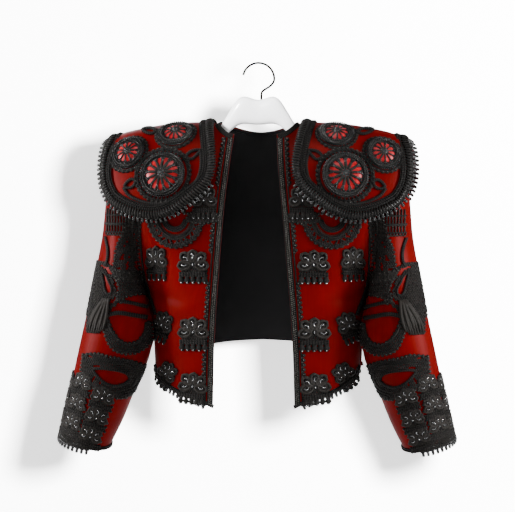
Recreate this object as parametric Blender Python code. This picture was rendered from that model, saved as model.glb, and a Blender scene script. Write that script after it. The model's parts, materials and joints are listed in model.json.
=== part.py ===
"""Matador jacket on a hanger.

A short jacket of stiff red satin with raised black trimmings, open in front and filled out with
no wearer, hanging on a plain hanger. Metres, +Z up, the front faces -Y. The origin is the inside
top of the hanger's hook. Left and right are the wearer's: left is +X.
"""
import math

import bpy
import numpy as np
from mathutils import Vector
from mathutils.bvhtree import BVHTree
from mathutils.geometry import delaunay_2d_cdt

# Cloth and seams
CLOTH = 0.0024          # wall of the quilted satin
LINING = 0.0012
SEAM = 0.0005           # between two pieces that are sewn together
LIFT = 0.00045          # between a trimming and the cloth under it
CLEAR = 0.0003          # the least that a trimming keeps to the cloth

# Body
SQUARE = 2.3            # exponent of the body's section, 2 would be an ellipse
NECK_X, NECK_Z = 0.067, -0.100
SHOULDER_X, SHOULDER_Z = 0.200, -0.134
ARMPIT_X, ARMPIT_Z = 0.190, -0.380
ARMHOLE_DEPTH = 0.075   # half of the armhole, front to back
ARMHOLE_MID = (SHOULDER_Z + ARMPIT_Z) / 2
ARMHOLE_HALF = (SHOULDER_Z - ARMPIT_Z) / 2
FRONT_COLUMNS, NECK_COLUMNS = 8, 2
ROWS, ARMPIT_ROW = 12, 4

# Sleeve
SLEEVE_SIDES, SLEEVE_RINGS = 16, 16

# Epaulette
PAD_WALL = 0.003
PAD_DEPTH, PAD_REACH = 0.118, 0.290
BORDER_STATIONS = 84
FRINGE = 0.008

# Hanger
WIRE = 0.00175
HOOK_RADIUS = 0.025 + WIRE
HOOK_MID = -0.025
STEM_X = 0.005
HANGER_TOP = -0.061

RED = (0.42, 0.012, 0.012, 1)
BLACK = (0.012, 0.011, 0.011, 1)
WHITE = (0.86, 0.86, 0.86, 1)

# Side seam: height, half width of the body there
SIDE = [(-0.530, 0.174), (-0.469, 0.176), (-0.430, 0.178), (-0.405, 0.181), (-0.390, 0.1845),
        (ARMPIT_Z, ARMPIT_X)]
# Height, half depth of the body at its middle: front, back
DEPTH = [(-0.600, 0.100, 0.098), (-0.469, 0.106, 0.102), (-0.380, 0.110, 0.105),
         (-0.257, 0.112, 0.101), (-0.100, 0.112, 0.098)]
# Front view of the front's edges: x, z
FRONT_HEM = [(0.069, -0.580), (0.100, -0.566), (0.132, -0.555), (0.160, -0.538), (0.174, -0.514)]
FRONT_EDGE = [(0.069, -0.580), (0.066, -0.469), (0.057, -0.340), (0.047, -0.225),
              (0.040, -0.160), (0.036, -0.118)]
BACK_HEM = [(0.000, -0.474), (0.070, -0.479), (0.130, -0.493), (0.174, -0.514)]
BACK_NECK_Z = -0.118
NECK_AXIS_Z = -0.190    # the neck band faces away from a line across at this height
NECK_CURVE = 1.8
# Soft folds in the body: x, z, half length, half width, turn in degrees, depth
FRONT_FOLDS = [(0.150, -0.392, 0.050, 0.010, 12, 0.0035),
               (0.120, -0.430, 0.045, 0.009, -25, 0.0022),
               (0.165, -0.300, 0.040, 0.008, 70, 0.0025)]
BACK_FOLDS = [(0.150, -0.400, 0.050, 0.011, 20, 0.0035),
              (0.060, -0.430, 0.050, 0.012, 82, 0.0028),
              (0.120, -0.300, 0.060, 0.012, 55, 0.0030)]
# Sleeve rings: outer x, outer z, inner x, inner z, half depth, middle y, drop of its front
SLEEVE = [(0.2005, SHOULDER_Z, 0.1905, ARMPIT_Z, ARMHOLE_DEPTH, 0.000, 0.000),
          (0.2320, -0.143, 0.1910, -0.386, 0.0745, -0.001, 0.000),
          (0.2500, -0.172, 0.1890, -0.393, 0.0730, -0.005, 0.000),
          (0.2580, -0.226, 0.1850, -0.403, 0.0700, -0.012, 0.000),
          (0.2640, -0.290, 0.1812, -0.415, 0.0660, -0.020, 0.000),
          (0.2750, -0.350, 0.1775, -0.433, 0.0620, -0.028, 0.000),
          (0.2880, -0.415, 0.1762, -0.462, 0.0580, -0.034, 0.001),
          (0.3000, -0.470, 0.1845, -0.502, 0.0540, -0.038, 0.003),
          (0.3120, -0.525, 0.2060, -0.550, 0.0500, -0.040, 0.006),
          (0.3250, -0.580, 0.2270, -0.602, 0.0460, -0.040, 0.009),
          (0.3360, -0.630, 0.2500, -0.648, 0.0420, -0.038, 0.012)]
# Soft folds in the sleeve: place along it, degrees round it, half length, half width, depth
SLEEVE_FOLDS = [(0.50, 165, 0.030, 50, 0.0040), (0.58, 150, 0.028, 45, 0.0035),
                (0.66, 172, 0.026, 40, 0.0030), (0.44, 215, 0.030, 45, 0.0035),
                (0.62, 235, 0.035, 40, 0.0028), (0.30, 120, 0.045, 20, 0.0020)]
# Front view of the epaulette's front lobe: x, z
PAD_RIDGE = [(0.0765, -0.0985), (0.142, -0.1005), (0.190, -0.108), (0.234, -0.119),
             (0.252, -0.1275)]
PAD_INNER = [(0.0765, -0.0985), (0.067, -0.146), (0.065, -0.172), (0.068, -0.192)]
PAD_OUTER = [(0.252, -0.1275), (0.259, -0.140), (0.263, -0.163), (0.263, -0.189),
             (0.258, -0.212), (0.246, -0.234)]
PAD_LOWER = [(0.068, -0.192), (0.082, -0.210), (0.104, -0.228), (0.129, -0.246), (0.154, -0.257),
             (0.180, -0.259), (0.204, -0.254), (0.227, -0.245), (0.246, -0.234)]
# Rosettes: name, x, z, lobe (-1 front, 1 back), radius of the guipure ring, rise of the dome
ROSETTES = [("big", 0.157, -0.183, -1, 0.041, 0.011), ("top", 0.137, -0.119, -1, 0.028, 0.009),
            ("outer", 0.218, -0.151, -1, 0.028, 0.009), ("back", 0.157, -0.183, 1, 0.041, 0.011)]
# Flower-and-tassel motifs on the front: x, z, width, height, turn in degrees
MOTIFS = [(0.083, -0.234, 0.044, 0.056, 0), (0.1015, -0.342, 0.053, 0.058, 0),
          (0.1015, -0.4565, 0.053, 0.058, 0), (0.1035, -0.549, 0.050, 0.056, 6),
          (0.166, -0.338, 0.039, 0.060, 0), (0.159, -0.446, 0.035, 0.056, 20),
          (0.153, -0.528, 0.034, 0.050, 34)]
CRESCENT_X, CRESCENT_Z, CRESCENT_RADIUS, CRESCENT_WIDTH = 0.134, -0.258, 0.034, 0.023
CRESCENT_HIGH = 1.1      # height over width
# Middle lines of the sleeve's trimmings in front view: x, z, width
SLEEVE_BAND = [(0.216, -0.262, 0.032), (0.219, -0.295, 0.033), (0.221, -0.323, 0.033),
               (0.219, -0.353, 0.033), (0.209, -0.384, 0.030)]
SLEEVE_LOOP = [(0.262, -0.423, 0.012), (0.227, -0.422, 0.009), (0.198, -0.426, 0.008),
               (0.193, -0.444, 0.008), (0.197, -0.464, 0.012), (0.209, -0.479, 0.016),
               (0.228, -0.481, 0.018), (0.247, -0.467, 0.018), (0.259, -0.446, 0.016)]
SLEEVE_LEAF = [(0.286, -0.505, 0.016), (0.258, -0.499, 0.019), (0.228, -0.505, 0.020),
               (0.208, -0.521, 0.019), (0.211, -0.541, 0.019), (0.230, -0.554, 0.018),
               (0.252, -0.549, 0.014), (0.271, -0.529, 0.011)]
SLEEVE_ALMOND = [(0.256, -0.345, 0.007), (0.245, -0.357, 0.007), (0.239, -0.377, 0.007),
                 (0.245, -0.396, 0.007), (0.257, -0.398, 0.007), (0.265, -0.384, 0.007),
                 (0.265, -0.360, 0.007)]
# Hanger sections: x, top z, height, half depth
HANGER = [(0.000, HANGER_TOP, 0.042, 0.011), (0.036, HANGER_TOP, 0.044, 0.012),
          (0.050, -0.082, 0.034, 0.010), (0.064, -0.104, 0.024, 0.007),
          (0.085, -0.1086, 0.022, 0.012), (0.120, -0.1179, 0.022, 0.015),
          (0.160, -0.1280, 0.022, 0.016), (0.184, -0.1341, 0.019, 0.016),
          (0.191, -0.1390, 0.010, 0.012)]
# Hook wire from the stem to the arc: x, z
HOOK_RUN = [(STEM_X, HANGER_TOP + CLEAR), (STEM_X, -0.0520), (0.0060, -0.0475), (0.0100, -0.0440),
            (0.0185, -0.0385), (0.0240, -0.0330)]
HOOK_ARC = (-5, 167)     # degrees about the seat's middle, anticlockwise from +X

for leftover in list(bpy.data.objects):
    bpy.data.objects.remove(leftover, do_unlink=True)
jacket = bpy.data.collections.new("matador_jacket")
bpy.context.scene.collection.children.link(jacket)


def finish(name, colour, roughness):
    """The node's own material."""
    material = bpy.data.materials.new(name)
    material.use_nodes = True
    shader = material.node_tree.nodes["Principled BSDF"]
    shader.inputs["Base Color"].default_value = colour
    shader.inputs["Roughness"].default_value = roughness
    return material


def add_piece(name, points, faces, colour, roughness=0.5):
    """A closed solid as an object of its own, its faces turned outwards."""
    mesh = bpy.data.meshes.new(name)
    mesh.from_pydata([tuple(map(float, point)) for point in points], [], faces)
    volume = 0.0
    mesh.calc_loop_triangles()
    for triangle in mesh.loop_triangles:
        a, b, c = (mesh.vertices[i].co for i in triangle.vertices)
        volume += a.dot(b.cross(c))
    if volume < 0:
        mesh.flip_normals()
    mesh.materials.append(finish(name, colour, roughness))
    piece = bpy.data.objects.new(name, mesh)
    jacket.objects.link(piece)
    return piece


def add_pair(name, points, faces, colour, roughness=0.5):
    """The left piece and its mirror image on the right."""
    add_piece(name + "_left", points, faces, colour, roughness)
    other = np.array(points) * (-1, 1, 1)
    add_piece(name + "_right", other, [face[::-1] for face in faces], colour, roughness)


def smooth(table, at):
    """Columns of the table, read at a place in its first column, on a smooth line."""
    table = np.asarray(table, float)
    knots, values = table[:, 0], table[:, 1:]
    slopes = np.gradient(values, knots, axis=0)
    at = np.clip(np.asarray(at, float), knots[0], knots[-1])
    i = np.clip(np.searchsorted(knots, at) - 1, 0, len(knots) - 2)
    step = (knots[i + 1] - knots[i])[..., None]
    t = (at - knots[i])[..., None] / step
    return (values[i] * (1 + 2 * t) * (1 - t) ** 2 + values[i + 1] * t * t * (3 - 2 * t)
            + step * (slopes[i] * t * (1 - t) ** 2 - slopes[i + 1] * t * t * (1 - t)))


def line(points):
    """A smooth line through the points, as a function of 0 to 1 along it."""
    points = np.asarray(points, float)
    lengths = np.linalg.norm(np.diff(points[:, :2], axis=0), axis=1)
    along = np.concatenate([[0], np.cumsum(lengths)]) / lengths.sum()
    table = np.column_stack([along, points])
    return lambda t: smooth(table, t)


def closed_line(points):
    """A smooth closed line, as a function of 0 to 1 round it."""
    points = np.asarray(points, float)
    run = line(np.concatenate([points[-2:], points, points[:2]]))
    lengths = np.linalg.norm(np.diff(np.concatenate([points[-2:], points, points[:2]])[:, :2],
                                     axis=0), axis=1)
    start = lengths[:2].sum() / lengths.sum()
    end = (lengths.sum() - lengths[-1]) / lengths.sum()
    return lambda t: run(start + (end - start) * np.asarray(t))


def patch(bottom, top, near, far, u, v):
    """Place between four edges: near to far by u, bottom to top by v."""
    u, v = u[..., None], v[..., None]
    corners = ((1 - u) * (1 - v) * near(np.array(0.0)) + u * (1 - v) * far(np.array(0.0))
               + (1 - u) * v * near(np.array(1.0)) + u * v * far(np.array(1.0)))
    return ((1 - v) * bottom(u[..., 0]) + v * top(u[..., 0])
            + (1 - u) * near(v[..., 0]) + u * far(v[..., 0]) - corners)


def dent(folds, x, z):
    """How far the soft folds press the cloth in."""
    total = 0.0
    for fold_x, fold_z, length, width, turn, depth in folds:
        turn = math.radians(turn)
        along = (x - fold_x) * math.cos(turn) + (z - fold_z) * math.sin(turn)
        across = -(x - fold_x) * math.sin(turn) + (z - fold_z) * math.cos(turn)
        total = total + depth * np.exp(-(along / length) ** 2 - (across / width) ** 2)
    return total


def shoulder_z(x):
    slope = (SHOULDER_Z - NECK_Z) / (SHOULDER_X - NECK_X)
    return NECK_Z + slope * (np.asarray(x) - NECK_X)


def body_depth(x, z, column, inset, folds):
    """Distance of the body's front or back from the plane of its side seams."""
    middle = smooth(DEPTH, z)[..., column] - inset
    # Above the armpit the section runs on as if there were no armhole
    level = np.minimum(z, ARMHOLE_MID)
    rise = np.clip(1 - ((level - ARMHOLE_MID) / (ARMHOLE_HALF - inset)) ** 2, 0, 1)
    armhole = (ARMHOLE_DEPTH - inset) * np.sqrt(rise)
    armhole_x = ARMPIT_X + (SHOULDER_X - ARMPIT_X) * (z - ARMPIT_Z) / (2 * ARMHOLE_HALF)
    share = np.clip(armhole / middle, 0, 0.95) ** SQUARE
    above = armhole_x / (1 - share) ** (1 / SQUARE)
    below = smooth(SIDE, z)[..., 0] - inset * np.clip((ARMPIT_Z - z) / 0.02, 0, 1)
    width = np.where(z > ARMPIT_Z + 1e-6, above, below)
    section = np.clip(1 - (np.abs(x) / width) ** SQUARE, 0, 1) ** (1 / SQUARE)
    over = np.clip((z - ARMHOLE_MID) / (shoulder_z(np.abs(x)) - inset - ARMHOLE_MID), 0, 1)
    depth = middle * section * np.sqrt(1 - over ** 2)
    fade = np.clip(depth / 0.05, 0, 1) * (1 - over)
    return depth - fade * dent(folds, np.abs(x), z)


def spread(u):
    """Columns crowd towards the side seam, where the cloth turns fastest."""
    return np.sin(u * math.pi / 2)


NECK_SHARE = float(spread(NECK_COLUMNS / FRONT_COLUMNS))


def panel_view(kind, u, v, inset=0.0):
    """Front view place on a front or on the left half of the back."""
    if kind == "front":
        hem, edge = line(FRONT_HEM), line(FRONT_EDGE)
        neck = np.array(FRONT_EDGE[-1])
    else:
        hem = line(BACK_HEM)
        neck = np.array((0.0, BACK_NECK_Z))
        edge = line([BACK_HEM[0], neck])
    neck_point = np.array((NECK_X, NECK_Z - inset))
    shoulder = np.array((SHOULDER_X, SHOULDER_Z - inset))

    def top(t):
        first = spread(np.clip(t / NECK_SHARE, 0, 1))[..., None]
        second = np.clip((t - NECK_SHARE) / (1 - NECK_SHARE), 0, 1)[..., None]
        # The neck edge is hollow: it runs on level before it climbs to the shoulder
        climb = np.concatenate([first, first ** NECK_CURVE], axis=-1)
        return neck + (neck_point - neck) * climb + (shoulder - neck_point) * second

    def far(t):
        share = ARMPIT_ROW / ROWS
        low = np.clip(t / share, 0, 1)
        z_low = FRONT_HEM[-1][1] + (ARMPIT_Z - FRONT_HEM[-1][1]) * low
        x_low = smooth(SIDE, z_low)[..., 0] - inset * np.clip((ARMPIT_Z - z_low) / 0.02, 0, 1)
        angle = math.pi * (np.clip((t - share) / (1 - share), 0, 1) - 0.5)
        z_high = ARMHOLE_MID + (ARMHOLE_HALF - inset) * np.sin(angle)
        x_high = ARMPIT_X + (SHOULDER_X - ARMPIT_X) * (z_high - ARMPIT_Z) / (2 * ARMHOLE_HALF)
        high = t > share + 1e-9
        return np.stack([np.where(high, x_high, x_low), np.where(high, z_high, z_low)], axis=-1)

    def bottom(t):
        place = hem(t)
        side = np.array((inset, 0.0))
        return place - side * t[..., None] ** 4

    return patch(bottom, top, edge, far, spread(u), v)


def panel_point(kind, u, v, inset=0.0):
    """Point of a front or of the left half of the back."""
    u, v = np.broadcast_arrays(np.asarray(u, float), np.asarray(v, float))
    place = panel_view(kind, u, v, inset)
    x, z = place[..., 0], place[..., 1]
    column, folds, side = (0, FRONT_FOLDS, -1) if kind == "front" else (1, BACK_FOLDS, 1)
    y = side * (body_depth(x, z, column, inset, folds) + SEAM / 2)
    return np.stack([x, y, z], axis=-1)


def normal_of(point, u, v, step=1e-3):
    """Direction square to a surface given by its point function, by small steps."""
    u, v = np.broadcast_arrays(np.asarray(u, float), np.asarray(v, float))
    across = point(u + step, v) - point(u - step, v)
    up = point(u, v + step) - point(u, v - step)
    normal = np.cross(across, up)
    return normal / np.maximum(np.linalg.norm(normal, axis=-1, keepdims=True), 1e-12)


def triangles(faces):
    """Faces cut into triangles, each from its first corner."""
    return [(face[0], face[i], face[i + 1]) for face in faces for i in range(1, len(face) - 1)]


def wall(outer, inner, round_u=False):
    """Closed solid between two like grids of points, whose rims are closed by faces."""
    across, along = outer.shape[:2]
    points = np.concatenate([outer.reshape(-1, 3), inner.reshape(-1, 3)])
    half = across * along
    faces = []

    def at(i, j, layer):
        return (i % across) * along + j + layer * half

    columns = across if round_u else across - 1
    for i in range(columns):
        for j in range(along - 1):
            faces.append((at(i, j, 0), at(i + 1, j, 0), at(i + 1, j + 1, 0), at(i, j + 1, 0)))
            faces.append((at(i, j, 1), at(i, j + 1, 1), at(i + 1, j + 1, 1), at(i + 1, j, 1)))
        last = along - 1
        faces.append((at(i, 0, 0), at(i, 0, 1), at(i + 1, 0, 1), at(i + 1, 0, 0)))
        faces.append((at(i, last, 0), at(i + 1, last, 0), at(i + 1, last, 1), at(i, last, 1)))
    if not round_u:
        for j in range(along - 1):
            end = across - 1
            faces.append((at(0, j, 0), at(0, j + 1, 0), at(0, j + 1, 1), at(0, j, 1)))
            faces.append((at(end, j, 0), at(end, j, 1), at(end, j + 1, 1), at(end, j + 1, 0)))
    return points, triangles(faces)


def trimmed(half):
    """A half panel's grid drawn in from its hem, without its top row and its side column."""
    half = half[:-1, :-1].copy()
    half[:, 0] += (half[:, 1] - half[:, 0]) * 0.15
    return half


def both_halves(half):
    """The back's grid from side to side, from the grid of its left half."""
    return np.concatenate([(half * (-1, 1, 1))[:0:-1], half])


def sleeve_point(along, turn, inset=0.0):
    """Point of the left sleeve: 0 to 1 down it, degrees round it from its outer line to its front."""
    along, turn = np.broadcast_arrays(np.asarray(along, float), np.asarray(turn, float))
    table = np.column_stack([np.linspace(0, 1, len(SLEEVE)), np.array(SLEEVE)])
    ring = smooth(table, along)
    outer, inner = ring[..., 0:2], ring[..., 2:4]
    middle, radius = (outer + inner) / 2, (outer - inner) / 2
    length = np.linalg.norm(radius, axis=-1)
    angle = np.radians(turn)
    press = 0.0
    for fold_along, fold_turn, half_along, half_turn, depth in SLEEVE_FOLDS:
        away = (turn - fold_turn + 180) % 360 - 180
        press = press + depth * np.exp(-((along - fold_along) / half_along) ** 2
                                       - (away / half_turn) ** 2)
    shrink = (length - inset - press) / length
    place = middle + radius * (shrink * np.cos(angle))[..., None]
    y = ring[..., 5] - (ring[..., 4] - inset - press) * np.sin(angle)
    return np.stack([place[..., 0], y, place[..., 1] - ring[..., 6] * np.sin(angle)], axis=-1)


def pad_depth(x, z, inset):
    """Distance of the epaulette from the plane of the shoulder seam."""
    ridge = smooth(PAD_RIDGE, x)[..., 0] - inset
    section = np.clip(1 - (x / (PAD_REACH - inset)) ** SQUARE, 0, 1) ** (1 / SQUARE)
    over = np.clip((z - ARMHOLE_MID) / (ridge - ARMHOLE_MID), 0, 1)
    return (PAD_DEPTH - inset) * section * np.sqrt(1 - over ** 2)


def pad_point(u, v, inset=0.0):
    """Point of the left epaulette: u from neck to arm, v from -1 behind to 1 in front."""
    u, v = np.broadcast_arrays(np.asarray(u, float), np.asarray(v, float))
    share = np.sin(np.abs(v) * math.pi / 2) ** 1.3
    inner, outer, lower, ridge = (line(edge) for edge in (PAD_INNER, PAD_OUTER, PAD_LOWER,
                                                          PAD_RIDGE))
    place = patch(ridge, lower, inner, outer, u, share)
    x = place[..., 0]
    z = place[..., 1] - inset * (1 - share)
    y = -np.sign(v) * pad_depth(x, z, inset)
    return np.stack([x, y, z], axis=-1)


def tree_of(*parts):
    """Search tree over the faces of some pieces, both sides of the garment."""
    points, faces = [], []
    for part_points, part_faces in parts:
        for side in (1, -1):
            start = len(points)
            points += [tuple(point) for point in np.array(part_points) * (side, 1, 1)]
            faces += [tuple(i + start for i in face)[::side] for face in part_faces]
    return BVHTree.FromPolygons(points, faces)


def lay(tree, points, normals, faces, heights, reach=0.025, near=0.008):
    """Closed solid of a trimming whose flat faces are laid on cloth.

    Each point looks along its normal for the cloth and stays where it is when there is none near,
    as in a fringe past the hem. Where the solid still meets the cloth between its points, those
    points are lifted until it is clear.
    """
    normals = [Vector(normal).normalized() for normal in normals]
    under = []
    for point, normal in zip(points, normals):
        point = Vector(point)
        hit = tree.ray_cast(point + normal * reach, -normal, 2 * reach)[0]
        if hit and (hit - point).length > near:
            hit = None
        under.append((hit if hit else point) + normal * LIFT)
    flat = triangles(faces)
    count = len(under)
    solid = [tuple(i + count for i in face) for face in flat]
    solid += [face[::-1] for face in flat]
    edges = {(a, b) for face in flat for a, b in zip(face, face[1:] + face[:1])}
    for a, b in sorted(edges):
        if (b, a) not in edges:
            solid += [(a, b, b + count), (a, b + count, a + count)]
    for _ in range(60):
        over = [point + normal * height for point, normal, height in zip(under, normals, heights)]
        # A little under the true underside, so that the cleared solid keeps a gap
        low = [point - normal * CLEAR for point, normal in zip(under, normals)]
        meets = BVHTree.FromPolygons(low + over, solid).overlap(tree)
        if not meets:
            break
        for i in {corner % count for face, _ in meets for corner in solid[face]}:
            under[i] = under[i] + normals[i] * CLEAR
    return [tuple(point) for point in under + over], solid


def strip_faces(columns, stations, closed=False):
    """Faces of a strip whose points come station by station."""
    faces = []
    for i in range(stations if closed else stations - 1):
        following = (i + 1) % stations
        for j in range(columns - 1):
            faces.append((i * columns + j, following * columns + j,
                          following * columns + j + 1, i * columns + j + 1))
    return faces


def flat_sheet(outline, inside):
    """Triangles of a flat outline with some points inside it."""
    outline = [Vector(point) for point in outline]
    edges = [(i, (i + 1) % len(outline)) for i in range(len(outline))]
    spots = outline + [Vector(point) for point in inside]
    found = delaunay_2d_cdt(spots, edges, [], 1, 1e-7)
    return [tuple(point) for point in found[0]], [tuple(face) for face in found[2]]


def seen_from_front(places, depth):
    """Points of the front at places in the front view, and the normals towards the viewer."""
    points = [(x, -float(depth(x, z)), z) for x, z in places]
    return points, [(0, -1, 0)] * len(points)


def front_depth(x, z):
    return body_depth(x, np.array(z), 0, 0.0, FRONT_FOLDS)


def sleeve_depth(x, z):
    """Near enough for a trimming's point that just misses the sleeve."""
    return 0.03


def body_pieces():
    """Fronts, back and the lining that shows between the fronts."""
    u = np.linspace(0, 1, FRONT_COLUMNS + 1)[:, None]
    v = np.linspace(0, 1, ROWS + 1)[None, :]
    front = wall(panel_point("front", u, v), panel_point("front", u, v, CLOTH))
    back = wall(both_halves(panel_point("back", u, v)), both_halves(panel_point("back", u, v, CLOTH)))
    add_pair("front", *front, RED, 0.4)
    add_piece("back", *back, RED, 0.4)
    face = CLOTH + 2 * SEAM
    lining = wall(*(both_halves(trimmed(panel_point("back", u, v, inset)))
                    for inset in (face, face + LINING)))
    add_piece("back_lining", *lining, BLACK, 0.5)
    return front, back


def sleeve_piece():
    along = np.linspace(0, 1, SLEEVE_RINGS + 1)[None, :]
    turn = np.linspace(0, 360, SLEEVE_SIDES, endpoint=False)[:, None]
    sleeve = wall(sleeve_point(along, turn), sleeve_point(along, turn, CLOTH), round_u=True)
    add_pair("sleeve", *sleeve, RED, 0.4)
    return sleeve


def neck_band(tree):
    """Black band on the neck edge, from one front corner round the back to the other."""
    width = (0.0, 0.009, 0.018)
    stations = []
    for kind, shares in (("front", (0.02, 0.35, 0.7, 0.97)), ("back", (0.97, 0.7, 0.35, 0.0))):
        for share in shares:
            stations.append((kind, share * NECK_COLUMNS / FRONT_COLUMNS))
    rows = []
    for kind, u in stations:
        for down in width:
            point = panel_point(kind, u, 0.997 - down)
            rows.append((point, point - (point[0], 0, NECK_AXIS_Z)))
    half = [rows[i:i + 3] for i in range(0, len(rows), 3)]
    other = [[(point * (-1, 1, 1), normal) for point, normal in row] for row in half[:-1]]
    whole = half + other[::-1]
    points = [point for row in whole for point, _ in row]
    normals = [normal for row in whole for _, normal in row]
    piece = lay(tree, points, normals, strip_faces(3, len(whole)),
                [0.0012, 0.002, 0.0012] * len(whole))
    add_piece("neck_band", *piece, BLACK)


def front_braid(tree):
    """Beaded galloon down the front edge."""
    stations = 20
    edge = line(FRONT_EDGE)
    places = [(edge(t)[0] + across, edge(t)[1])
              for t in np.linspace(0.022, 0.965, stations) for across in (0.001, 0.0055, 0.010)]
    piece = lay(tree, *seen_from_front(places, front_depth), strip_faces(3, stations),
                [0.0012, 0.003, 0.0012] * stations, reach=0.08)
    add_pair("front_braid", *piece, BLACK)
    return piece


def fringe_strip(tree, stations, surface, down, heights=(0.001, 0.0028, 0.0014), closed=False):
    """Braid along an edge with a toothed fringe past it.

    surface(station, distance) gives a point that far in from the edge, and its normal.
    """
    points, normals, tops = [], [], []
    for i, station in enumerate(stations):
        tooth = down if i % 2 else 0.0012
        for distance, height in zip((0.005, 0.002, -tooth), heights):
            point, normal = surface(station, distance)
            points.append(point)
            normals.append(normal)
            tops.append(height)
    return lay(tree, points, normals, strip_faces(3, len(stations), closed), tops)


def hem_braids(tree):
    """Braid on the hems, with bead fringe in front."""
    def on(kind):
        def surface(u, distance):
            half = abs(u)
            edge = panel_point(kind, half, 0.0)
            up = panel_point(kind, half, 0.03) - edge
            point = edge + up / np.linalg.norm(up) * distance
            across = (panel_point(kind, min(half + 0.01, 1), 0)
                      - panel_point(kind, max(half - 0.01, 0), 0))
            normal = np.cross(across, up) * (1 if kind == "front" else -1)
            if u < 0:
                point, normal = point * (-1, 1, 1), normal * (-1, 1, 1)
            return point, normal
        return surface
    u = np.linspace(0.02, 0.96, 15)
    piece = fringe_strip(tree, u, on("front"), FRINGE)
    add_pair("hem_braid", *piece, BLACK)
    u = np.linspace(-0.96, 0.96, 31)
    add_piece("hem_braid_back", *fringe_strip(tree, u, on("back"), 0.0012), BLACK)
    return piece


def sleeve_normal(along, turn):
    """Direction out of the sleeve, turned clear of its ends."""
    return normal_of(sleeve_point, np.clip(along, 0.01, 0.99), turn, 0.004) * -1


def cuff_pieces(tree):
    """Braid and fringe round the cuff, and the lace of small flowers above them."""
    length = np.linalg.norm(sleeve_point(1, 0) - sleeve_point(0.9, 0)) / 0.1

    def surface(turn, distance):
        point = sleeve_point(min(1 - distance / length, 1), turn)
        normal = sleeve_normal(0.985, turn)
        if distance < 0:
            down = sleeve_point(1, turn) - sleeve_point(0.97, turn)
            point = point - down / np.linalg.norm(down) * distance
        return point, normal
    turns = np.linspace(0, 360, 24, endpoint=False)
    add_pair("cuff_braid", *fringe_strip(tree, turns, surface, FRINGE, closed=True), BLACK)

    def on_sleeve(across, up):
        along = 1 - up / length
        turn = math.degrees(across / 0.044)
        return sleeve_point(along, turn), sleeve_normal(along, turn)
    # Steps of the lace's upper edge: from across, to across, height
    steps = [(-0.052, -0.014, 0.090), (-0.014, 0.028, 0.108), (0.028, 0.074, 0.094)]
    outline = [(steps[0][0], 0.016), (-0.014, 0.016), (0.028, 0.016), (steps[-1][1], 0.016)]
    scallop = 0.003
    for side, rise in ((1, 1), (-1, -1)):
        column = steps[-1] if side > 0 else steps[0]
        heights = np.linspace(0.034, column[2] - 0.014, 4)[::rise]
        edge = column[1] if side > 0 else column[0]
        lobes = [(edge + side * (scallop if i % 2 else -scallop), height)
                 for i, height in enumerate(heights)]
        if side > 0:
            right = lobes
        else:
            left = lobes
    top = []
    for start, end, height in steps[::-1]:
        for share, rise in ((0.0, -0.008), (0.22, 0.0), (0.5, 0.004), (0.78, 0.0), (1.0, -0.008)):
            top.append((end + (start - end) * share * 0.96, height + rise))
    outline += right + top + left
    inside = [(x, z) for x in (-0.033, 0.007, 0.051) for z in (0.035, 0.055, 0.072)]
    spots, faces = flat_sheet(outline, inside)
    laid = [on_sleeve(*spot) for spot in spots]
    heights = [0.0014 if i < len(outline) else 0.0034 for i in range(len(spots))]
    piece = lay(tree, [p for p, _ in laid], [n for _, n in laid], faces, heights)
    add_pair("cuff_lace", *piece, BLACK)


def trim_line(tree, name, table, stations, closed, height, scallop=0.0):
    """Raised lace on the sleeve along a middle line with widths, in front view."""
    run = closed_line(table) if closed else line(table)
    steps = np.linspace(0, 1, stations, endpoint=not closed)
    places = []
    for i, t in enumerate(steps):
        x, z, width = run(t)
        ahead = run(t + 0.01 if closed or t < 0.99 else t)
        behind = run(t - 0.01 if closed or t > 0.01 else t)
        way = (ahead - behind)[:2]
        way = way / np.linalg.norm(way)
        half = width / 2 + (scallop if i % 2 else 0)
        for share in (-1, 0, 1):
            places.append((x - way[1] * half * share, z + way[0] * half * share))
    piece = lay(tree, *seen_from_front(places, sleeve_depth), strip_faces(3, stations, closed),
                [0.001, height, 0.001] * stations, reach=0.08, near=0.08)
    add_pair(name, *piece, BLACK)


def motif_outline(width, height):
    """Flower of scallops over a bar with five tassels, the middle at the origin."""
    half, low = width / 2, -height / 2
    bar = low + 0.22 * height
    tassels, gap = 5, 0.0035
    step = 0.92 * width / tassels
    outline = []
    for i in range(tassels):
        left = -0.46 * width + i * step
        outline += [(left + gap / 2, low), (left + step - gap / 2, low)]
        if i < tassels - 1:
            outline += [(left + step - gap / 2, bar), (left + step + gap / 2, bar)]
    petals = 6
    middle = bar + 0.33 * height
    for i in range(2 * petals + 1):
        angle = math.radians(-22 + i * (224 / (2 * petals)))
        reach = 1.0 if i % 2 else 0.82
        outline.append((half * reach * math.cos(angle), middle + 0.45 * height * reach * math.sin(angle)))
    return outline


def front_motifs(tree):
    for number, (x, z, width, height, turn) in enumerate(MOTIFS, 1):
        outline = motif_outline(width, height)
        petals = [(0.24 * width * math.cos(a), 0.04 * height + 0.17 * height * math.sin(a))
                  for a in np.radians((0, 90, 180))]
        spots, faces = flat_sheet(outline, petals)
        turn = math.radians(turn)
        places = [(x + a * math.cos(turn) - b * math.sin(turn), z + a * math.sin(turn) + b * math.cos(turn))
                  for a, b in spots]
        heights = [0.0016 if i < len(outline) else 0.0036 for i in range(len(spots))]
        piece = lay(tree, *seen_from_front(places, front_depth), faces, heights, reach=0.08)
        add_pair("motif_%d" % number, *piece, BLACK)


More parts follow.
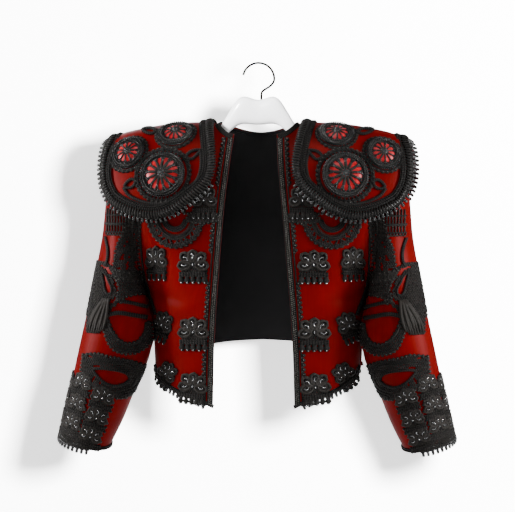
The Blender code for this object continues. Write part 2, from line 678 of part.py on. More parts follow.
def crescent(tree):
    """Half ring of lace on the front, its ends under the epaulette."""
    stations = 17
    places = []
    for i, angle in enumerate(np.radians(np.linspace(200, 366, stations))):
        for share in (-1, 0, 1):
            radius = CRESCENT_RADIUS + share * CRESCENT_WIDTH / 2
            if share == 1 and i % 2:
                radius += 0.003
            places.append((CRESCENT_X + radius * math.cos(angle),
                           CRESCENT_Z + CRESCENT_HIGH * radius * math.sin(angle)))
    piece = lay(tree, *seen_from_front(places, front_depth), strip_faces(3, stations),
                [0.0012, 0.0028, 0.0012] * stations, reach=0.08)
    add_pair("crescent", *piece, BLACK)


def epaulette():
    u = np.linspace(0, 1, 11)[:, None]
    v = np.linspace(-1, 1, 15)[None, :]
    pad = wall(pad_point(u, v), pad_point(u, v, PAD_WALL))
    add_pair("epaulette", *pad, RED, 0.4)
    return pad


def epaulette_border(tree):
    """Wrapped cord round the epaulette, with a bead fringe on its free edges."""
    steps = np.linspace(0, 1, 100, endpoint=False)
    route = np.concatenate([np.column_stack([0 * steps, 2 * steps - 1]),
                            np.column_stack([steps, 0 * steps + 1]),
                            np.column_stack([0 * steps + 1, 1 - 2 * steps]),
                            np.column_stack([1 - steps, 0 * steps - 1])])
    closed = np.concatenate([route, route[:1]])
    path = pad_point(closed[:, 0], closed[:, 1])
    lengths = np.linalg.norm(np.diff(path, axis=0), axis=1)
    run = np.concatenate([[0], np.cumsum(lengths)])
    stops = np.linspace(0, run[-1], BORDER_STATIONS, endpoint=False)
    edge = np.column_stack([np.interp(stops, run, path[:, k]) for k in range(3)])
    places = np.column_stack([np.interp(stops, run, closed[:, k]) for k in range(2)])
    inside = np.clip(places[:, 0], 0.02, 0.98), np.clip(places[:, 1], -0.97, 0.97)
    normals = normal_of(pad_point, *inside, 0.01)
    outward = pad_point(*inside) - pad_point(0.5, 0.0, 0.05)
    normals *= np.sign(np.sum(normals * outward, axis=1))[:, None]
    way = np.roll(edge, -1, axis=0) - np.roll(edge, 1, axis=0)
    way /= np.linalg.norm(way, axis=1)[:, None]
    inward = np.cross(normals, way)
    inward /= np.linalg.norm(inward, axis=1)[:, None]
    heart = pad_point(0.5, 0.0)
    if np.mean(np.sum(inward * (heart - edge), axis=1)) < 0:
        inward = -inward
    points, tops = [], []
    for i in range(BORDER_STATIONS):
        free = places[i, 0] > 0.12
        tooth = FRINGE if free and i % 2 else 0.001
        for distance, height in ((-tooth, 0.0016), (0.008, 0.0048), (0.018, 0.0012)):
            points.append(edge[i] + inward[i] * distance)
            tops.append(height)
    piece = lay(tree, points, np.repeat(normals, 3, axis=0),
                strip_faces(3, BORDER_STATIONS, True), tops)
    add_pair("epaulette_border", *piece, BLACK)


def rosettes(tree):
    """Domed beaded rosettes, each in a flat guipure ring."""
    sides = 14
    # Share of the radius, share of the rise
    profile = [(0.42, 0.88), (0.66, 0.62), (0.72, 0.12), (0.86, 0.24), (1.0, 0.10)]
    for name, x, z, lobe, radius, rise in ROSETTES:
        spot = Vector((x, lobe * float(pad_depth(x, np.array(z), 0.0)), z))
        hit, normal = tree.find_nearest(spot)[:2]
        if normal.dot(spot - Vector((x, 0, ARMHOLE_MID))) < 0:
            normal = -normal
        side = Vector((0, 0, 1)).cross(normal).normalized()
        up = normal.cross(side)
        spots = [Vector((0, 0))]
        heights = [rise]
        faces = []
        for ring, (reach, height) in enumerate(profile):
            for i in range(sides):
                angle = 2 * math.pi * i / sides
                spots.append(Vector((math.cos(angle), math.sin(angle))) * reach * radius)
                heights.append(height * rise)
                following = (i + 1) % sides
                if ring == 0:
                    faces.append((0, 1 + i, 1 + following))
                else:
                    low = 1 + (ring - 1) * sides
                    faces.append((low + i, low + sides + i, low + sides + following, low + following))
        points = [hit + side * spot.x + up * spot.y for spot in spots]
        piece = lay(tree, points, [normal] * len(points), faces, heights, reach=0.05)
        add_pair("rosette_" + name, *piece, BLACK)


def hanger_body():
    """Body with its neck block and contoured arms, one loft from end to end."""
    around = 10
    half = np.array(HANGER)
    sections = np.concatenate([(half * (-1, 1, 1, 1))[:0:-1], half])
    points, faces = [], []
    for x, top, height, depth in sections:
        for i in range(around):
            angle = 2 * math.pi * i / around
            points.append((x, depth * math.sin(angle), top - height / 2 + height / 2 * math.cos(angle)))
    for i in range(len(sections) - 1):
        for j in range(around):
            k = (j + 1) % around
            faces.append((i * around + j, i * around + k, (i + 1) * around + k, (i + 1) * around + j))
    faces.append(tuple(range(around))[::-1])
    faces.append(tuple(range(len(points) - around, len(points))))
    add_piece("hanger_body", points, faces, WHITE, 0.3)


def hanger_hook():
    """Wire hook: a stem, a slanted run and an open arc, a bevelled curve."""
    curve = bpy.data.curves.new("hanger_hook", "CURVE")
    curve.dimensions = "3D"
    curve.bevel_depth = WIRE
    curve.bevel_resolution = 2
    curve.use_fill_caps = True
    places = list(HOOK_RUN)
    for angle in np.radians(np.linspace(*HOOK_ARC, 13)):
        places.append((HOOK_RADIUS * math.cos(angle), HOOK_MID + HOOK_RADIUS * math.sin(angle)))
    spline = curve.splines.new("POLY")
    spline.points.add(len(places) - 1)
    for point, (x, z) in zip(spline.points, places):
        point.co = (x, 0, z, 1)
    curve.materials.append(finish("hanger_hook", BLACK, 0.35))
    hook = bpy.data.objects.new("hanger_hook", curve)
    jacket.objects.link(hook)


front, back = body_pieces()
sleeve = sleeve_piece()
body_tree = tree_of(front, back)
neck_band(body_tree)
edge_braid = front_braid(body_tree)
hem_braid = hem_braids(tree_of(front, back, edge_braid))
front_motifs(tree_of(front, back, edge_braid, hem_braid))
crescent(body_tree)
sleeve_tree = tree_of(sleeve)
cuff_pieces(sleeve_tree)
trim_line(sleeve_tree, "sleeve_band", SLEEVE_BAND, 13, False, 0.003, 0.0015)
trim_line(sleeve_tree, "sleeve_loop", SLEEVE_LOOP, 22, True, 0.003)
trim_line(sleeve_tree, "sleeve_leaf", SLEEVE_LEAF, 22, True, 0.003)
trim_line(sleeve_tree, "sleeve_almond", SLEEVE_ALMOND, 16, True, 0.0025)
pad = epaulette()
pad_tree = tree_of(pad)
epaulette_border(pad_tree)
rosettes(pad_tree)
hanger_body()
hanger_hook()
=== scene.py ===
"""Looks of a red satin matador jacket with black raised work, on a hanger."""

import json
import math
import bpy
import numpy as np
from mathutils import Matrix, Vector
from mathutils.bvhtree import BVHTree

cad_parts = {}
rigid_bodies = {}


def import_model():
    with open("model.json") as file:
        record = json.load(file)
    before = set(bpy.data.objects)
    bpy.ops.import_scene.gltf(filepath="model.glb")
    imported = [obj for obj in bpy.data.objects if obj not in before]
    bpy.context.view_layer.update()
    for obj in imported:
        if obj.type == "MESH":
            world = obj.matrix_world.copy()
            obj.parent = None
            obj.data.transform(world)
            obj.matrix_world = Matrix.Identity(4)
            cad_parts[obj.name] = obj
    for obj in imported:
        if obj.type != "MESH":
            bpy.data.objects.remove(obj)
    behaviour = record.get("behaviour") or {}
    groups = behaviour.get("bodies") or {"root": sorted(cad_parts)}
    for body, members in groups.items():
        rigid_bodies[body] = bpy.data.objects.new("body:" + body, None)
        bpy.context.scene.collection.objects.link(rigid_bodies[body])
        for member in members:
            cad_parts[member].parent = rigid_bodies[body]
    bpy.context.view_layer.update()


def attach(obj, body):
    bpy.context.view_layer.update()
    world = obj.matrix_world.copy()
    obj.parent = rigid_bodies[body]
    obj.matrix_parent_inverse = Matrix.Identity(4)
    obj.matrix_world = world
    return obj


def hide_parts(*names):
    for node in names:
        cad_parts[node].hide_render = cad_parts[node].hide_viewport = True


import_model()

# The view: a long lens a little above the jacket and a little to the wearer's left.
LOOKS_AT = Vector((-0.0017, 0.0, -0.3264))
TURN, RISE, DISTANCE, LENS = math.radians(4.9), math.radians(2.5), 9.73, 400
camera_data = bpy.data.cameras.new("camera")
camera_data.lens = LENS
camera_data.clip_end = 50
camera = bpy.data.objects.new("camera", camera_data)
away = Vector((math.sin(TURN) * math.cos(RISE), -math.cos(TURN) * math.cos(RISE), math.sin(RISE)))
camera.location = LOOKS_AT + away * DISTANCE
camera.rotation_euler = away.to_track_quat("Z", "Y").to_euler()
bpy.context.scene.collection.objects.link(camera)
bpy.context.scene.camera = camera


# Shader writing for every finish: sums on sockets, and one method that makes a node.
class Value:
    """A shader socket that takes part in Python sums."""

    def __init__(self, finish, socket):
        self.finish, self.socket = finish, socket

    def sum(self, operation, first, second=0.0):
        return self.finish.node("ShaderNodeMath", {"operation": operation}, {0: first, 1: second})

    def __add__(self, other):
        return self.sum("ADD", self, other)

    def __sub__(self, other):
        return self.sum("SUBTRACT", self, other)

    def __rsub__(self, other):
        return self.sum("SUBTRACT", other, self)

    def __mul__(self, other):
        return self.sum("MULTIPLY", self, other)

    def __pow__(self, other):
        return self.sum("POWER", self, other)

    __radd__, __rmul__ = __add__, __mul__

    def between(self, low, high):
        return self.finish.node("ShaderNodeMapRange", {"clamp": True},
                                {0: self, 1: low, 2: high, 3: 0.0, 4: 1.0})


class Finish:
    """A material with one Principled shader, whose constants are set on its sockets."""

    def __init__(self, name, colour, roughness, **constants):
        self.material = bpy.data.materials.new(name)
        self.material.use_nodes = True
        self.nodes, self.links = self.material.node_tree.nodes, self.material.node_tree.links
        self.shader = self.nodes["Principled BSDF"]
        self.shader.inputs["Base Color"].default_value = (*colour, 1)
        self.shader.inputs["Roughness"].default_value = roughness
        for socket, value in constants.items():
            self.shader.inputs[socket.replace("_", " ")].default_value = value

    def node(self, kind, settings=(), values=(), out=0):
        made = self.nodes.new(kind)
        for key, value in dict(settings).items():
            setattr(made, key, value)
        for key, value in dict(values).items():
            if isinstance(value, Value):
                self.links.new(value.socket, made.inputs[key])
            else:
                made.inputs[key].default_value = value
        return Value(self, made.outputs[out])

    def feed(self, socket, value):
        self.links.new(value.socket, self.shader.inputs[socket])

    def place(self, scale, source="Object"):
        out = {"Object": 3, "UV": 2}[source]
        there = self.node("ShaderNodeTexCoord", out=out)
        return self.node("ShaderNodeMapping", values={"Vector": there, "Scale": scale})

    def noise(self, place, scale=1.0, detail=2.0):
        return self.node("ShaderNodeTexNoise", values={"Vector": place, "Scale": scale, "Detail": detail})

    def blend(self, factor, first, second):
        """A colour between two."""
        return self.node("ShaderNodeMix", {"data_type": "RGBA"},
                         {0: factor, 6: (*first, 1), 7: (*second, 1)}, out=2)

    def relief(self, height, depth):
        """Bump of that depth in metres."""
        self.feed("Normal", self.node("ShaderNodeBump", values={"Height": height, "Distance": depth,
                                                                "Strength": 1.0}))


# Room: a pale floor, and a pale wall that is only there when it is seen from in front.
floor_finish = Finish("floor", (0.82, 0.82, 0.82), 0.9)
bpy.ops.object.select_all(action="DESELECT")
bpy.ops.mesh.primitive_plane_add(size=6, location=(0, 0, -0.85))
floor = bpy.context.object
floor.name = "floor"
floor.data.materials.append(floor_finish.material)
wall_finish = Finish("wall", (0.86, 0.86, 0.86), 0.95, Emission_Color=(1, 1, 1, 1),
                     Emission_Strength=0.95)
clear = wall_finish.nodes.new("ShaderNodeBsdfTransparent")
chooser = wall_finish.nodes.new("ShaderNodeMixShader")
behind = wall_finish.node("ShaderNodeNewGeometry", out=6)
wall_finish.links.new(behind.socket, chooser.inputs[0])
wall_finish.links.new(wall_finish.shader.outputs[0], chooser.inputs[1])
wall_finish.links.new(clear.outputs[0], chooser.inputs[2])
wall_finish.links.new(chooser.outputs[0], wall_finish.nodes["Material Output"].inputs[0])
bpy.ops.mesh.primitive_plane_add(size=6, location=(0, 0.175, 0), rotation=(math.pi / 2, 0, 0))
room_wall = bpy.context.object
room_wall.name = "wall"
room_wall.data.materials.append(wall_finish.material)

room_wall.visible_diffuse = room_wall.visible_glossy = False
lit_alone = bpy.data.collections.new("lit_alone")
lit_alone.objects.link(room_wall)
world = bpy.data.worlds.new("studio")
world.use_nodes = True
world.node_tree.nodes["Background"].inputs[0].default_value = (1, 1, 1, 1)
world.node_tree.nodes["Background"].inputs[1].default_value = 0.10
bpy.context.scene.world = world
lit_hanger = bpy.data.collections.new("lit_hanger")
# Soft boxes: name, place, size, power, what they aim at. The first lights the wall alone and
# throws the jacket's shadow on it.
for name, place, size, power, aim in [
        ("wall_key", (1.08, -2.9, 0.10), 0.50, 1500, (0, 0, -0.35)),
        ("front", (-0.4, -3.0, 0.6), 1.4, 9, (0, 0, -0.35)),
        ("left_side", (-2.3, -0.42, 0.3), 0.6, 92, (0, 0, -0.35)),
        ("right_side", (2.3, -0.42, 0.3), 0.6, 84, (0, 0, -0.35)),
        ("hanger_light", (-1.4, -2.2, 0.8), 0.5, 380, (0, 0, -0.1)),
        ("top", (0.0, -0.9, 2.0), 0.8, 24, (0, 0, -0.2)),
        ("rear", (-1.2, 2.4, 0.8), 1.4, 25, (0, 0, -0.35))]:
    light = bpy.data.lights.new(name, "AREA")
    light.size, light.energy = size, power
    lamp = bpy.data.objects.new(name, light)
    lamp.location = place
    lamp.rotation_euler = (Vector(place) - Vector(aim)).to_track_quat("Z", "Y").to_euler()
    bpy.context.scene.collection.objects.link(lamp)
    if name == "wall_key":
        lamp.light_linking.receiver_collection = lit_alone
    if name == "hanger_light":
        lamp.light_linking.receiver_collection = lit_hanger


# Body: two fronts and a back of stiff quilted satin, open in front, black lining inside.
# Each is a fine shell on its solid's form; the soft folds are those of a stiff cloth.
CLOTH, LINING, SEAM = 0.0022, 0.0010, 0.0005
SQUARE = 2.3
NECK_X, NECK_Z = 0.067, -0.100
SHOULDER_X, SHOULDER_Z = 0.200, -0.134
ARMPIT_X, ARMPIT_Z = 0.190, -0.380
ARMHOLE_DEPTH = 0.075
ARMHOLE_MID = (SHOULDER_Z + ARMPIT_Z) / 2
ARMHOLE_HALF = (SHOULDER_Z - ARMPIT_Z) / 2
NECK_COLUMN, ARMPIT_ROW = 0.25, 1 / 3
SIDE = [(-0.530, 0.1765), (-0.469, 0.1790), (-0.430, 0.1835), (-0.405, 0.1865), (-0.390, 0.1885),
        (ARMPIT_Z, ARMPIT_X)]
DEPTH = [(-0.600, 0.100, 0.098), (-0.469, 0.106, 0.102), (-0.380, 0.110, 0.105),
         (-0.257, 0.112, 0.101), (-0.100, 0.112, 0.098)]
FRONT_HEM = [(0.069, -0.580), (0.100, -0.566), (0.132, -0.555), (0.160, -0.538), (0.174, -0.514)]
FRONT_EDGE = [(0.069, -0.580), (0.066, -0.469), (0.057, -0.340), (0.047, -0.225),
              (0.040, -0.160), (0.036, -0.118)]
BACK_HEM = [(0.000, -0.474), (0.070, -0.479), (0.130, -0.493), (0.174, -0.514)]
BACK_NECK_Z = -0.118
NECK_CURVE = 1.8
# Soft folds: x, z, half length, half width, turn in degrees, depth
FRONT_FOLDS = [(0.150, -0.392, 0.050, 0.010, 12, 0.0035),
               (0.120, -0.430, 0.045, 0.009, -25, 0.0022),
               (0.165, -0.300, 0.040, 0.008, 70, 0.0025)]
BACK_FOLDS = [(0.150, -0.400, 0.050, 0.011, 20, 0.0035),
              (0.060, -0.430, 0.050, 0.012, 82, 0.0028),
              (0.120, -0.300, 0.060, 0.012, 55, 0.0030)]


def smooth(table, at):
    """Columns of the table, read at a place in its first column, on a smooth line."""
    table = np.asarray(table, float)
    knots, values = table[:, 0], table[:, 1:]
    slopes = np.gradient(values, knots, axis=0)
    at = np.clip(np.asarray(at, float), knots[0], knots[-1])
    i = np.clip(np.searchsorted(knots, at) - 1, 0, len(knots) - 2)
    step = (knots[i + 1] - knots[i])[..., None]
    t = (at - knots[i])[..., None] / step
    return (values[i] * (1 + 2 * t) * (1 - t) ** 2 + values[i + 1] * t * t * (3 - 2 * t)
            + step * (slopes[i] * t * (1 - t) ** 2 - slopes[i + 1] * t * t * (1 - t)))


def line(points):
    """A smooth line through the points, as a function of 0 to 1 along it."""
    points = np.asarray(points, float)
    lengths = np.linalg.norm(np.diff(points[:, :2], axis=0), axis=1)
    along = np.concatenate([[0], np.cumsum(lengths)]) / lengths.sum()
    table = np.column_stack([along, points])
    return lambda t: smooth(table, t)


def patch(bottom, top, near, far, u, v):
    """Place between four edges: near to far by u, bottom to top by v."""
    u, v = u[..., None], v[..., None]
    corners = ((1 - u) * (1 - v) * near(np.array(0.0)) + u * (1 - v) * far(np.array(0.0))
               + (1 - u) * v * near(np.array(1.0)) + u * v * far(np.array(1.0)))
    return ((1 - v) * bottom(u[..., 0]) + v * top(u[..., 0])
            + (1 - u) * near(v[..., 0]) + u * far(v[..., 0]) - corners)


def body_depth(x, z, column, inset, folds):
    """Distance of the body's front or back from the plane of its side seams."""
    middle = smooth(DEPTH, z)[..., column] - inset
    level = np.minimum(z, ARMHOLE_MID)
    rise = np.clip(1 - ((level - ARMHOLE_MID) / (ARMHOLE_HALF - inset)) ** 2, 0, 1)
    armhole = (ARMHOLE_DEPTH - inset) * np.sqrt(rise)
    armhole_x = ARMPIT_X + (SHOULDER_X - ARMPIT_X) * (z - ARMPIT_Z) / (2 * ARMHOLE_HALF)
    share = np.clip(armhole / middle, 0, 0.95) ** SQUARE
    above = armhole_x / (1 - share) ** (1 / SQUARE)
    below = smooth(SIDE, z)[..., 0] - inset * np.clip((ARMPIT_Z - z) / 0.02, 0, 1)
    width = np.where(z > ARMPIT_Z + 1e-6, above, below)
    section = np.clip(1 - (np.abs(x) / width) ** SQUARE, 0, 1) ** (1 / SQUARE)
    slope = (SHOULDER_Z - NECK_Z) / (SHOULDER_X - NECK_X)
    shoulder = NECK_Z + slope * (np.abs(x) - NECK_X)
    over = np.clip((z - ARMHOLE_MID) / (shoulder - inset - ARMHOLE_MID), 0, 1)
    depth = middle * section * np.sqrt(1 - over ** 2)
    press = 0.0
    for fold_x, fold_z, length, wide, turn, deep in folds:
        turn = math.radians(turn)
        along = (np.abs(x) - fold_x) * math.cos(turn) + (z - fold_z) * math.sin(turn)
        across = -(np.abs(x) - fold_x) * math.sin(turn) + (z - fold_z) * math.cos(turn)
        press = press + deep * np.exp(-(along / length) ** 2 - (across / wide) ** 2)
    return depth - np.clip(depth / 0.05, 0, 1) * (1 - over) * press


def panel_point(kind, u, v, inset=0.0):
    """Point of a front or of the left half of the back: u from its middle edge, v up."""
    u, v = np.broadcast_arrays(np.asarray(u, float), np.asarray(v, float))
    if kind == "front":
        hem, edge, neck = line(FRONT_HEM), line(FRONT_EDGE), np.array(FRONT_EDGE[-1])
        column, folds, side = 0, FRONT_FOLDS, -1
    else:
        neck = np.array((0.0, BACK_NECK_Z))
        hem, edge = line(BACK_HEM), line([BACK_HEM[0], neck])
        column, folds, side = 1, BACK_FOLDS, 1
    neck_point = np.array((NECK_X, NECK_Z - inset))
    shoulder = np.array((SHOULDER_X, SHOULDER_Z - inset))
    neck_share = math.sin(NECK_COLUMN * math.pi / 2)

    def top(t):
        first = np.sin(np.clip(t / neck_share, 0, 1) * math.pi / 2)[..., None]
        second = np.clip((t - neck_share) / (1 - neck_share), 0, 1)[..., None]
        climb = np.concatenate([first, first ** NECK_CURVE], axis=-1)
        return neck + (neck_point - neck) * climb + (shoulder - neck_point) * second

    def far(t):
        low = np.clip(t / ARMPIT_ROW, 0, 1)
        z_low = FRONT_HEM[-1][1] + (ARMPIT_Z - FRONT_HEM[-1][1]) * low
        x_low = smooth(SIDE, z_low)[..., 0] - inset * np.clip((ARMPIT_Z - z_low) / 0.02, 0, 1)
        angle = math.pi * (np.clip((t - ARMPIT_ROW) / (1 - ARMPIT_ROW), 0, 1) - 0.5)
        z_high = ARMHOLE_MID + (ARMHOLE_HALF - inset) * np.sin(angle)
        x_high = ARMPIT_X + (SHOULDER_X - ARMPIT_X) * (z_high - ARMPIT_Z) / (2 * ARMHOLE_HALF)
        high = t > ARMPIT_ROW + 1e-9
        return np.stack([np.where(high, x_high, x_low), np.where(high, z_high, z_low)], axis=-1)

    def bottom(t):
        return hem(t) - np.array((inset, 0.0)) * t[..., None] ** 4

    place = patch(bottom, top, edge, far, np.sin(u * math.pi / 2), v)
    x, z = place[..., 0], place[..., 1]
    y = side * (body_depth(x, z, column, inset, folds) + SEAM / 2)
    return np.stack([x, y, z], axis=-1)


def normals_of(grid, round_u=False):
    """Directions square to a grid of points."""
    if round_u:
        across = np.roll(grid, -1, axis=0) - np.roll(grid, 1, axis=0)
    else:
        across = np.gradient(grid, axis=0)
    normal = np.cross(across, np.gradient(grid, axis=1))
    return normal / np.maximum(np.linalg.norm(normal, axis=-1, keepdims=True), 1e-12)


def grid_faces(across, along, round_u=False):
    """Quads of a grid whose points come column by column."""
    i, j = np.meshgrid(np.arange(across if round_u else across - 1), np.arange(along - 1), indexing="ij")
    following = (i + 1) % across
    return np.stack([i * along + j, following * along + j, following * along + j + 1,
                     i * along + j + 1], axis=-1).reshape(-1, 4)


def shell(name, outer, inner, finishes, round_u=False):
    """Thin closed shell between two like grids, its inside in the second finish."""
    across, along = outer.shape[:2]
    count = across * along
    points = np.concatenate([outer.reshape(-1, 3), inner.reshape(-1, 3)])
    outside = grid_faces(across, along, round_u)
    inside = outside[:, ::-1] + count
    rims = []
    columns = range(across if round_u else across - 1)
    for i in columns:
        near, following = i * along, (i + 1) % across * along
        rims.append((near, near + count, following + count, following))
        near, following = near + along - 1, following + along - 1
        rims.append((near, following, following + count, near + count))
    if not round_u:
        last = (across - 1) * along
        for j in range(along - 1):
            rims.append((j, j + 1, j + 1 + count, j + count))
            rims.append((last + j, last + j + count, last + j + 1 + count, last + j + 1))
    faces = outside.tolist() + inside.tolist() + rims
    mesh = bpy.data.meshes.new(name)
    mesh.from_pydata(points.tolist(), [], faces)
    # The piece's own map, in metres across and along the cloth
    steps = np.linalg.norm(np.diff(outer, axis=0), axis=-1)
    u = np.concatenate([np.zeros((1, along)), np.cumsum(steps, axis=0)])
    steps = np.linalg.norm(np.diff(outer, axis=1), axis=-1)
    v = np.concatenate([np.zeros((across, 1)), np.cumsum(steps, axis=1)], axis=1)
    flat = np.tile(np.stack([u, v], axis=-1).reshape(-1, 2), (2, 1))
    corners = np.empty(len(mesh.loops), int)
    mesh.loops.foreach_get("vertex_index", corners)
    mesh.uv_layers.new(name="cloth").data.foreach_set("uv", flat[corners].ravel())
    for finish in finishes:
        mesh.materials.append(finish.material)
    slots = np.zeros(len(faces), int)
    slots[len(outside):2 * len(outside)] = len(finishes) - 1
    mesh.polygons.foreach_set("material_index", slots)
    mesh.validate()
    piece = bpy.data.objects.new(name, mesh)
    bpy.context.scene.collection.objects.link(piece)
    bpy.ops.object.select_all(action="DESELECT")
    piece.select_set(True)
    bpy.context.view_layer.objects.active = piece
    bpy.ops.object.shade_smooth_by_angle(angle=math.radians(50))
    piece.select_set(False)
    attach(piece, "root")
    return piece


def mirrored(grid):
    """The same grid on the wearer's right, its faces still outwards."""
    return (grid * (-1, 1, 1))[::-1]


satin = Finish("red_satin", (0.20, 0.004, 0.004), 0.42, Specular_IOR_Level=0.10,
               Specular_Tint=(1.0, 0.34, 0.32, 1))
threads = satin.noise(satin.place((2600, 240, 1), "UV"), 1.0, 1.0)
slubs = satin.noise(satin.place((240, 14, 1), "UV"), 1.0, 2.0)
clouds = satin.noise(satin.place((9, 9, 9)), 1.0, 3.0)
satin.feed("Base Color", satin.blend(clouds.between(0.35, 0.65) * 0.6 + slubs.between(0.3, 0.8) * 0.4,
                                     (0.115, 0.0008, 0.0008), (0.180, 0.0018, 0.0018)))
satin.feed("Roughness", slubs * 0.14 + 0.34)
satin.relief(threads * 0.7 + slubs * 0.5, 0.00012)

lining_black = Finish("black_lining", (0.006, 0.006, 0.0065), 0.65, Specular_IOR_Level=0.2, Sheen_Weight=0.05,
                      Sheen_Roughness=0.5)
twill = lining_black.node("ShaderNodeTexWave", {"bands_direction": "DIAGONAL"},
                          {"Vector": lining_black.place((900, 900, 900)), "Scale": 1.0, "Distortion": 1.5})
soft = lining_black.noise(lining_black.place((14, 14, 14)), 1.0, 2.0)
lining_black.feed("Base Color", lining_black.blend(soft, (0.007, 0.007, 0.008), (0.016, 0.015, 0.016)))
lining_black.relief(twill, 0.00008)

PANEL_U, PANEL_V = 55, 95
u = np.linspace(0, 1, PANEL_U)[:, None]
v = np.linspace(0, 1, PANEL_V)[None, :]
front_grid = panel_point("front", u, v)
front_inside = panel_point("front", u, v, CLOTH)
for side, outer, inner in (("left", front_grid, front_inside),
                           ("right", mirrored(front_grid), mirrored(front_inside))):
    piece = shell("jacket_front_" + side, outer, inner, [satin, lining_black])
    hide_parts("front_" + side)


def both_halves(half):
    """The back's grid from side to side, from the grid of its left half."""
    return np.concatenate([mirrored(half)[:-1], half])


back_half = panel_point("back", u, v)
back_grid = both_halves(back_half)
back_inside = both_halves(panel_point("back", u, v, CLOTH))
piece = shell("jacket_back", back_grid[::-1], back_inside[::-1], [satin, lining_black])
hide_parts("back")

lining_u = np.linspace(0, 0.985, PANEL_U)[:, None]
lining_v = np.linspace(0.012, 0.985, PANEL_V)[None, :]
layers = [both_halves(panel_point("back", lining_u, lining_v, inset))
          for inset in (CLOTH + 2 * SEAM, CLOTH + 2 * SEAM + LINING)]
piece = shell("back_lining_cloth", layers[0][::-1], layers[1][::-1], [lining_black])
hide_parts("back_lining")

# Sleeves: tubes of the same satin set in at the shoulder, a little bent forward at the elbow.
# Their shells follow rings from the armhole to the cuff; the creases lie inside the elbow.
# Rings: outer x, outer z, inner x, inner z, half depth, middle y, drop of the front
SLEEVE = [(0.2005, SHOULDER_Z, 0.1905, ARMPIT_Z, ARMHOLE_DEPTH, 0.000, 0.000),
          (0.2320, -0.143, 0.1910, -0.386, 0.0745, -0.001, 0.000),
          (0.2500, -0.172, 0.1890, -0.393, 0.0730, -0.005, 0.000),
          (0.2580, -0.226, 0.1850, -0.403, 0.0700, -0.012, 0.000),
          (0.2640, -0.290, 0.1812, -0.415, 0.0660, -0.020, 0.000),
          (0.2750, -0.350, 0.1760, -0.433, 0.0620, -0.028, 0.000),
          (0.2880, -0.415, 0.1738, -0.462, 0.0580, -0.034, 0.001),
          (0.3000, -0.470, 0.1845, -0.502, 0.0540, -0.038, 0.003),
          (0.3120, -0.525, 0.2060, -0.550, 0.0500, -0.040, 0.006),
          (0.3250, -0.580, 0.2270, -0.602, 0.0460, -0.040, 0.009),
          (0.3360, -0.630, 0.2500, -0.648, 0.0420, -0.038, 0.012)]
# Creases: place along the sleeve, degrees round it, half length, half width, depth
SLEEVE_FOLDS = [(0.50, 150, 0.030, 34, 0.0030), (0.58, 140, 0.028, 32, 0.0028),
                (0.66, 160, 0.026, 30, 0.0022), (0.44, 215, 0.030, 45, 0.0035),
                (0.62, 235, 0.035, 40, 0.0028), (0.30, 120, 0.045, 20, 0.0020)]


def sleeve_point(along, turn, inset=0.0):
    """Point of the left sleeve: 0 to 1 down it, degrees from its outer line to its front."""
    along, turn = np.broadcast_arrays(np.asarray(along, float), np.asarray(turn, float))
    ring = smooth(np.column_stack([np.linspace(0, 1, len(SLEEVE)), np.array(SLEEVE)]), along)
    outer, inner = ring[..., 0:2], ring[..., 2:4]
    middle, radius = (outer + inner) / 2, (outer - inner) / 2
    length = np.linalg.norm(radius, axis=-1)
    angle = np.radians(turn)
    press = 0.0
    for fold_along, fold_turn, half_along, half_turn, depth in SLEEVE_FOLDS:
        away = (turn - fold_turn + 180) % 360 - 180
        press = press + depth * np.exp(-((along - fold_along) / half_along) ** 2
                                       - (away / half_turn) ** 2)
    place = middle + radius * ((length - inset - press) / length * np.cos(angle))[..., None]
    y = ring[..., 5] - (ring[..., 4] - inset - press) * np.sin(angle)
    return np.stack([place[..., 0], y, place[..., 1] - ring[..., 6] * np.sin(angle)], axis=-1)


down_sleeve = np.linspace(0, 1, 101)[None, :]
round_sleeve = np.linspace(0, 360, 80, endpoint=False)[:, None]
sleeve_grid = sleeve_point(down_sleeve, round_sleeve)
sleeve_inside = sleeve_point(down_sleeve, round_sleeve, CLOTH)
for side, outer, inner in (("left", sleeve_grid, sleeve_inside),
                           ("right", mirrored(sleeve_grid), mirrored(sleeve_inside))):
    piece = shell("jacket_sleeve_" + side, outer, inner, [satin, lining_black], round_u=True)
    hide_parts("sleeve_" + side)
    "jacket_front_" + side


# Epaulettes: stiff lined saddles over the shoulders, sewn on at the neck end alone.
PAD_WALL = 0.003
PAD_DEPTH, PAD_REACH = 0.118, 0.290
PAD_RIDGE = [(0.0765, -0.0985), (0.142, -0.1005), (0.190, -0.108), (0.234, -0.119),
             (0.252, -0.1275)]
PAD_INNER = [(0.0765, -0.0985), (0.067, -0.146), (0.065, -0.172), (0.068, -0.192)]
PAD_OUTER = [(0.252, -0.1275), (0.259, -0.140), (0.263, -0.163), (0.263, -0.189),
             (0.258, -0.212), (0.246, -0.234)]
PAD_LOWER = [(0.068, -0.192), (0.082, -0.210), (0.104, -0.228), (0.129, -0.246), (0.154, -0.257),
             (0.180, -0.259), (0.204, -0.254), (0.227, -0.245), (0.246, -0.234)]


def pad_depth(x, z, inset=0.0):
    """Distance of the epaulette from the plane of the shoulder seam."""
    ridge = smooth(PAD_RIDGE, x)[..., 0] - inset
    section = np.clip(1 - (x / (PAD_REACH - inset)) ** SQUARE, 0, 1) ** (1 / SQUARE)
    over = np.clip((z - ARMHOLE_MID) / (ridge - ARMHOLE_MID), 0, 1)
    return (PAD_DEPTH - inset) * section * np.sqrt(1 - over ** 2)


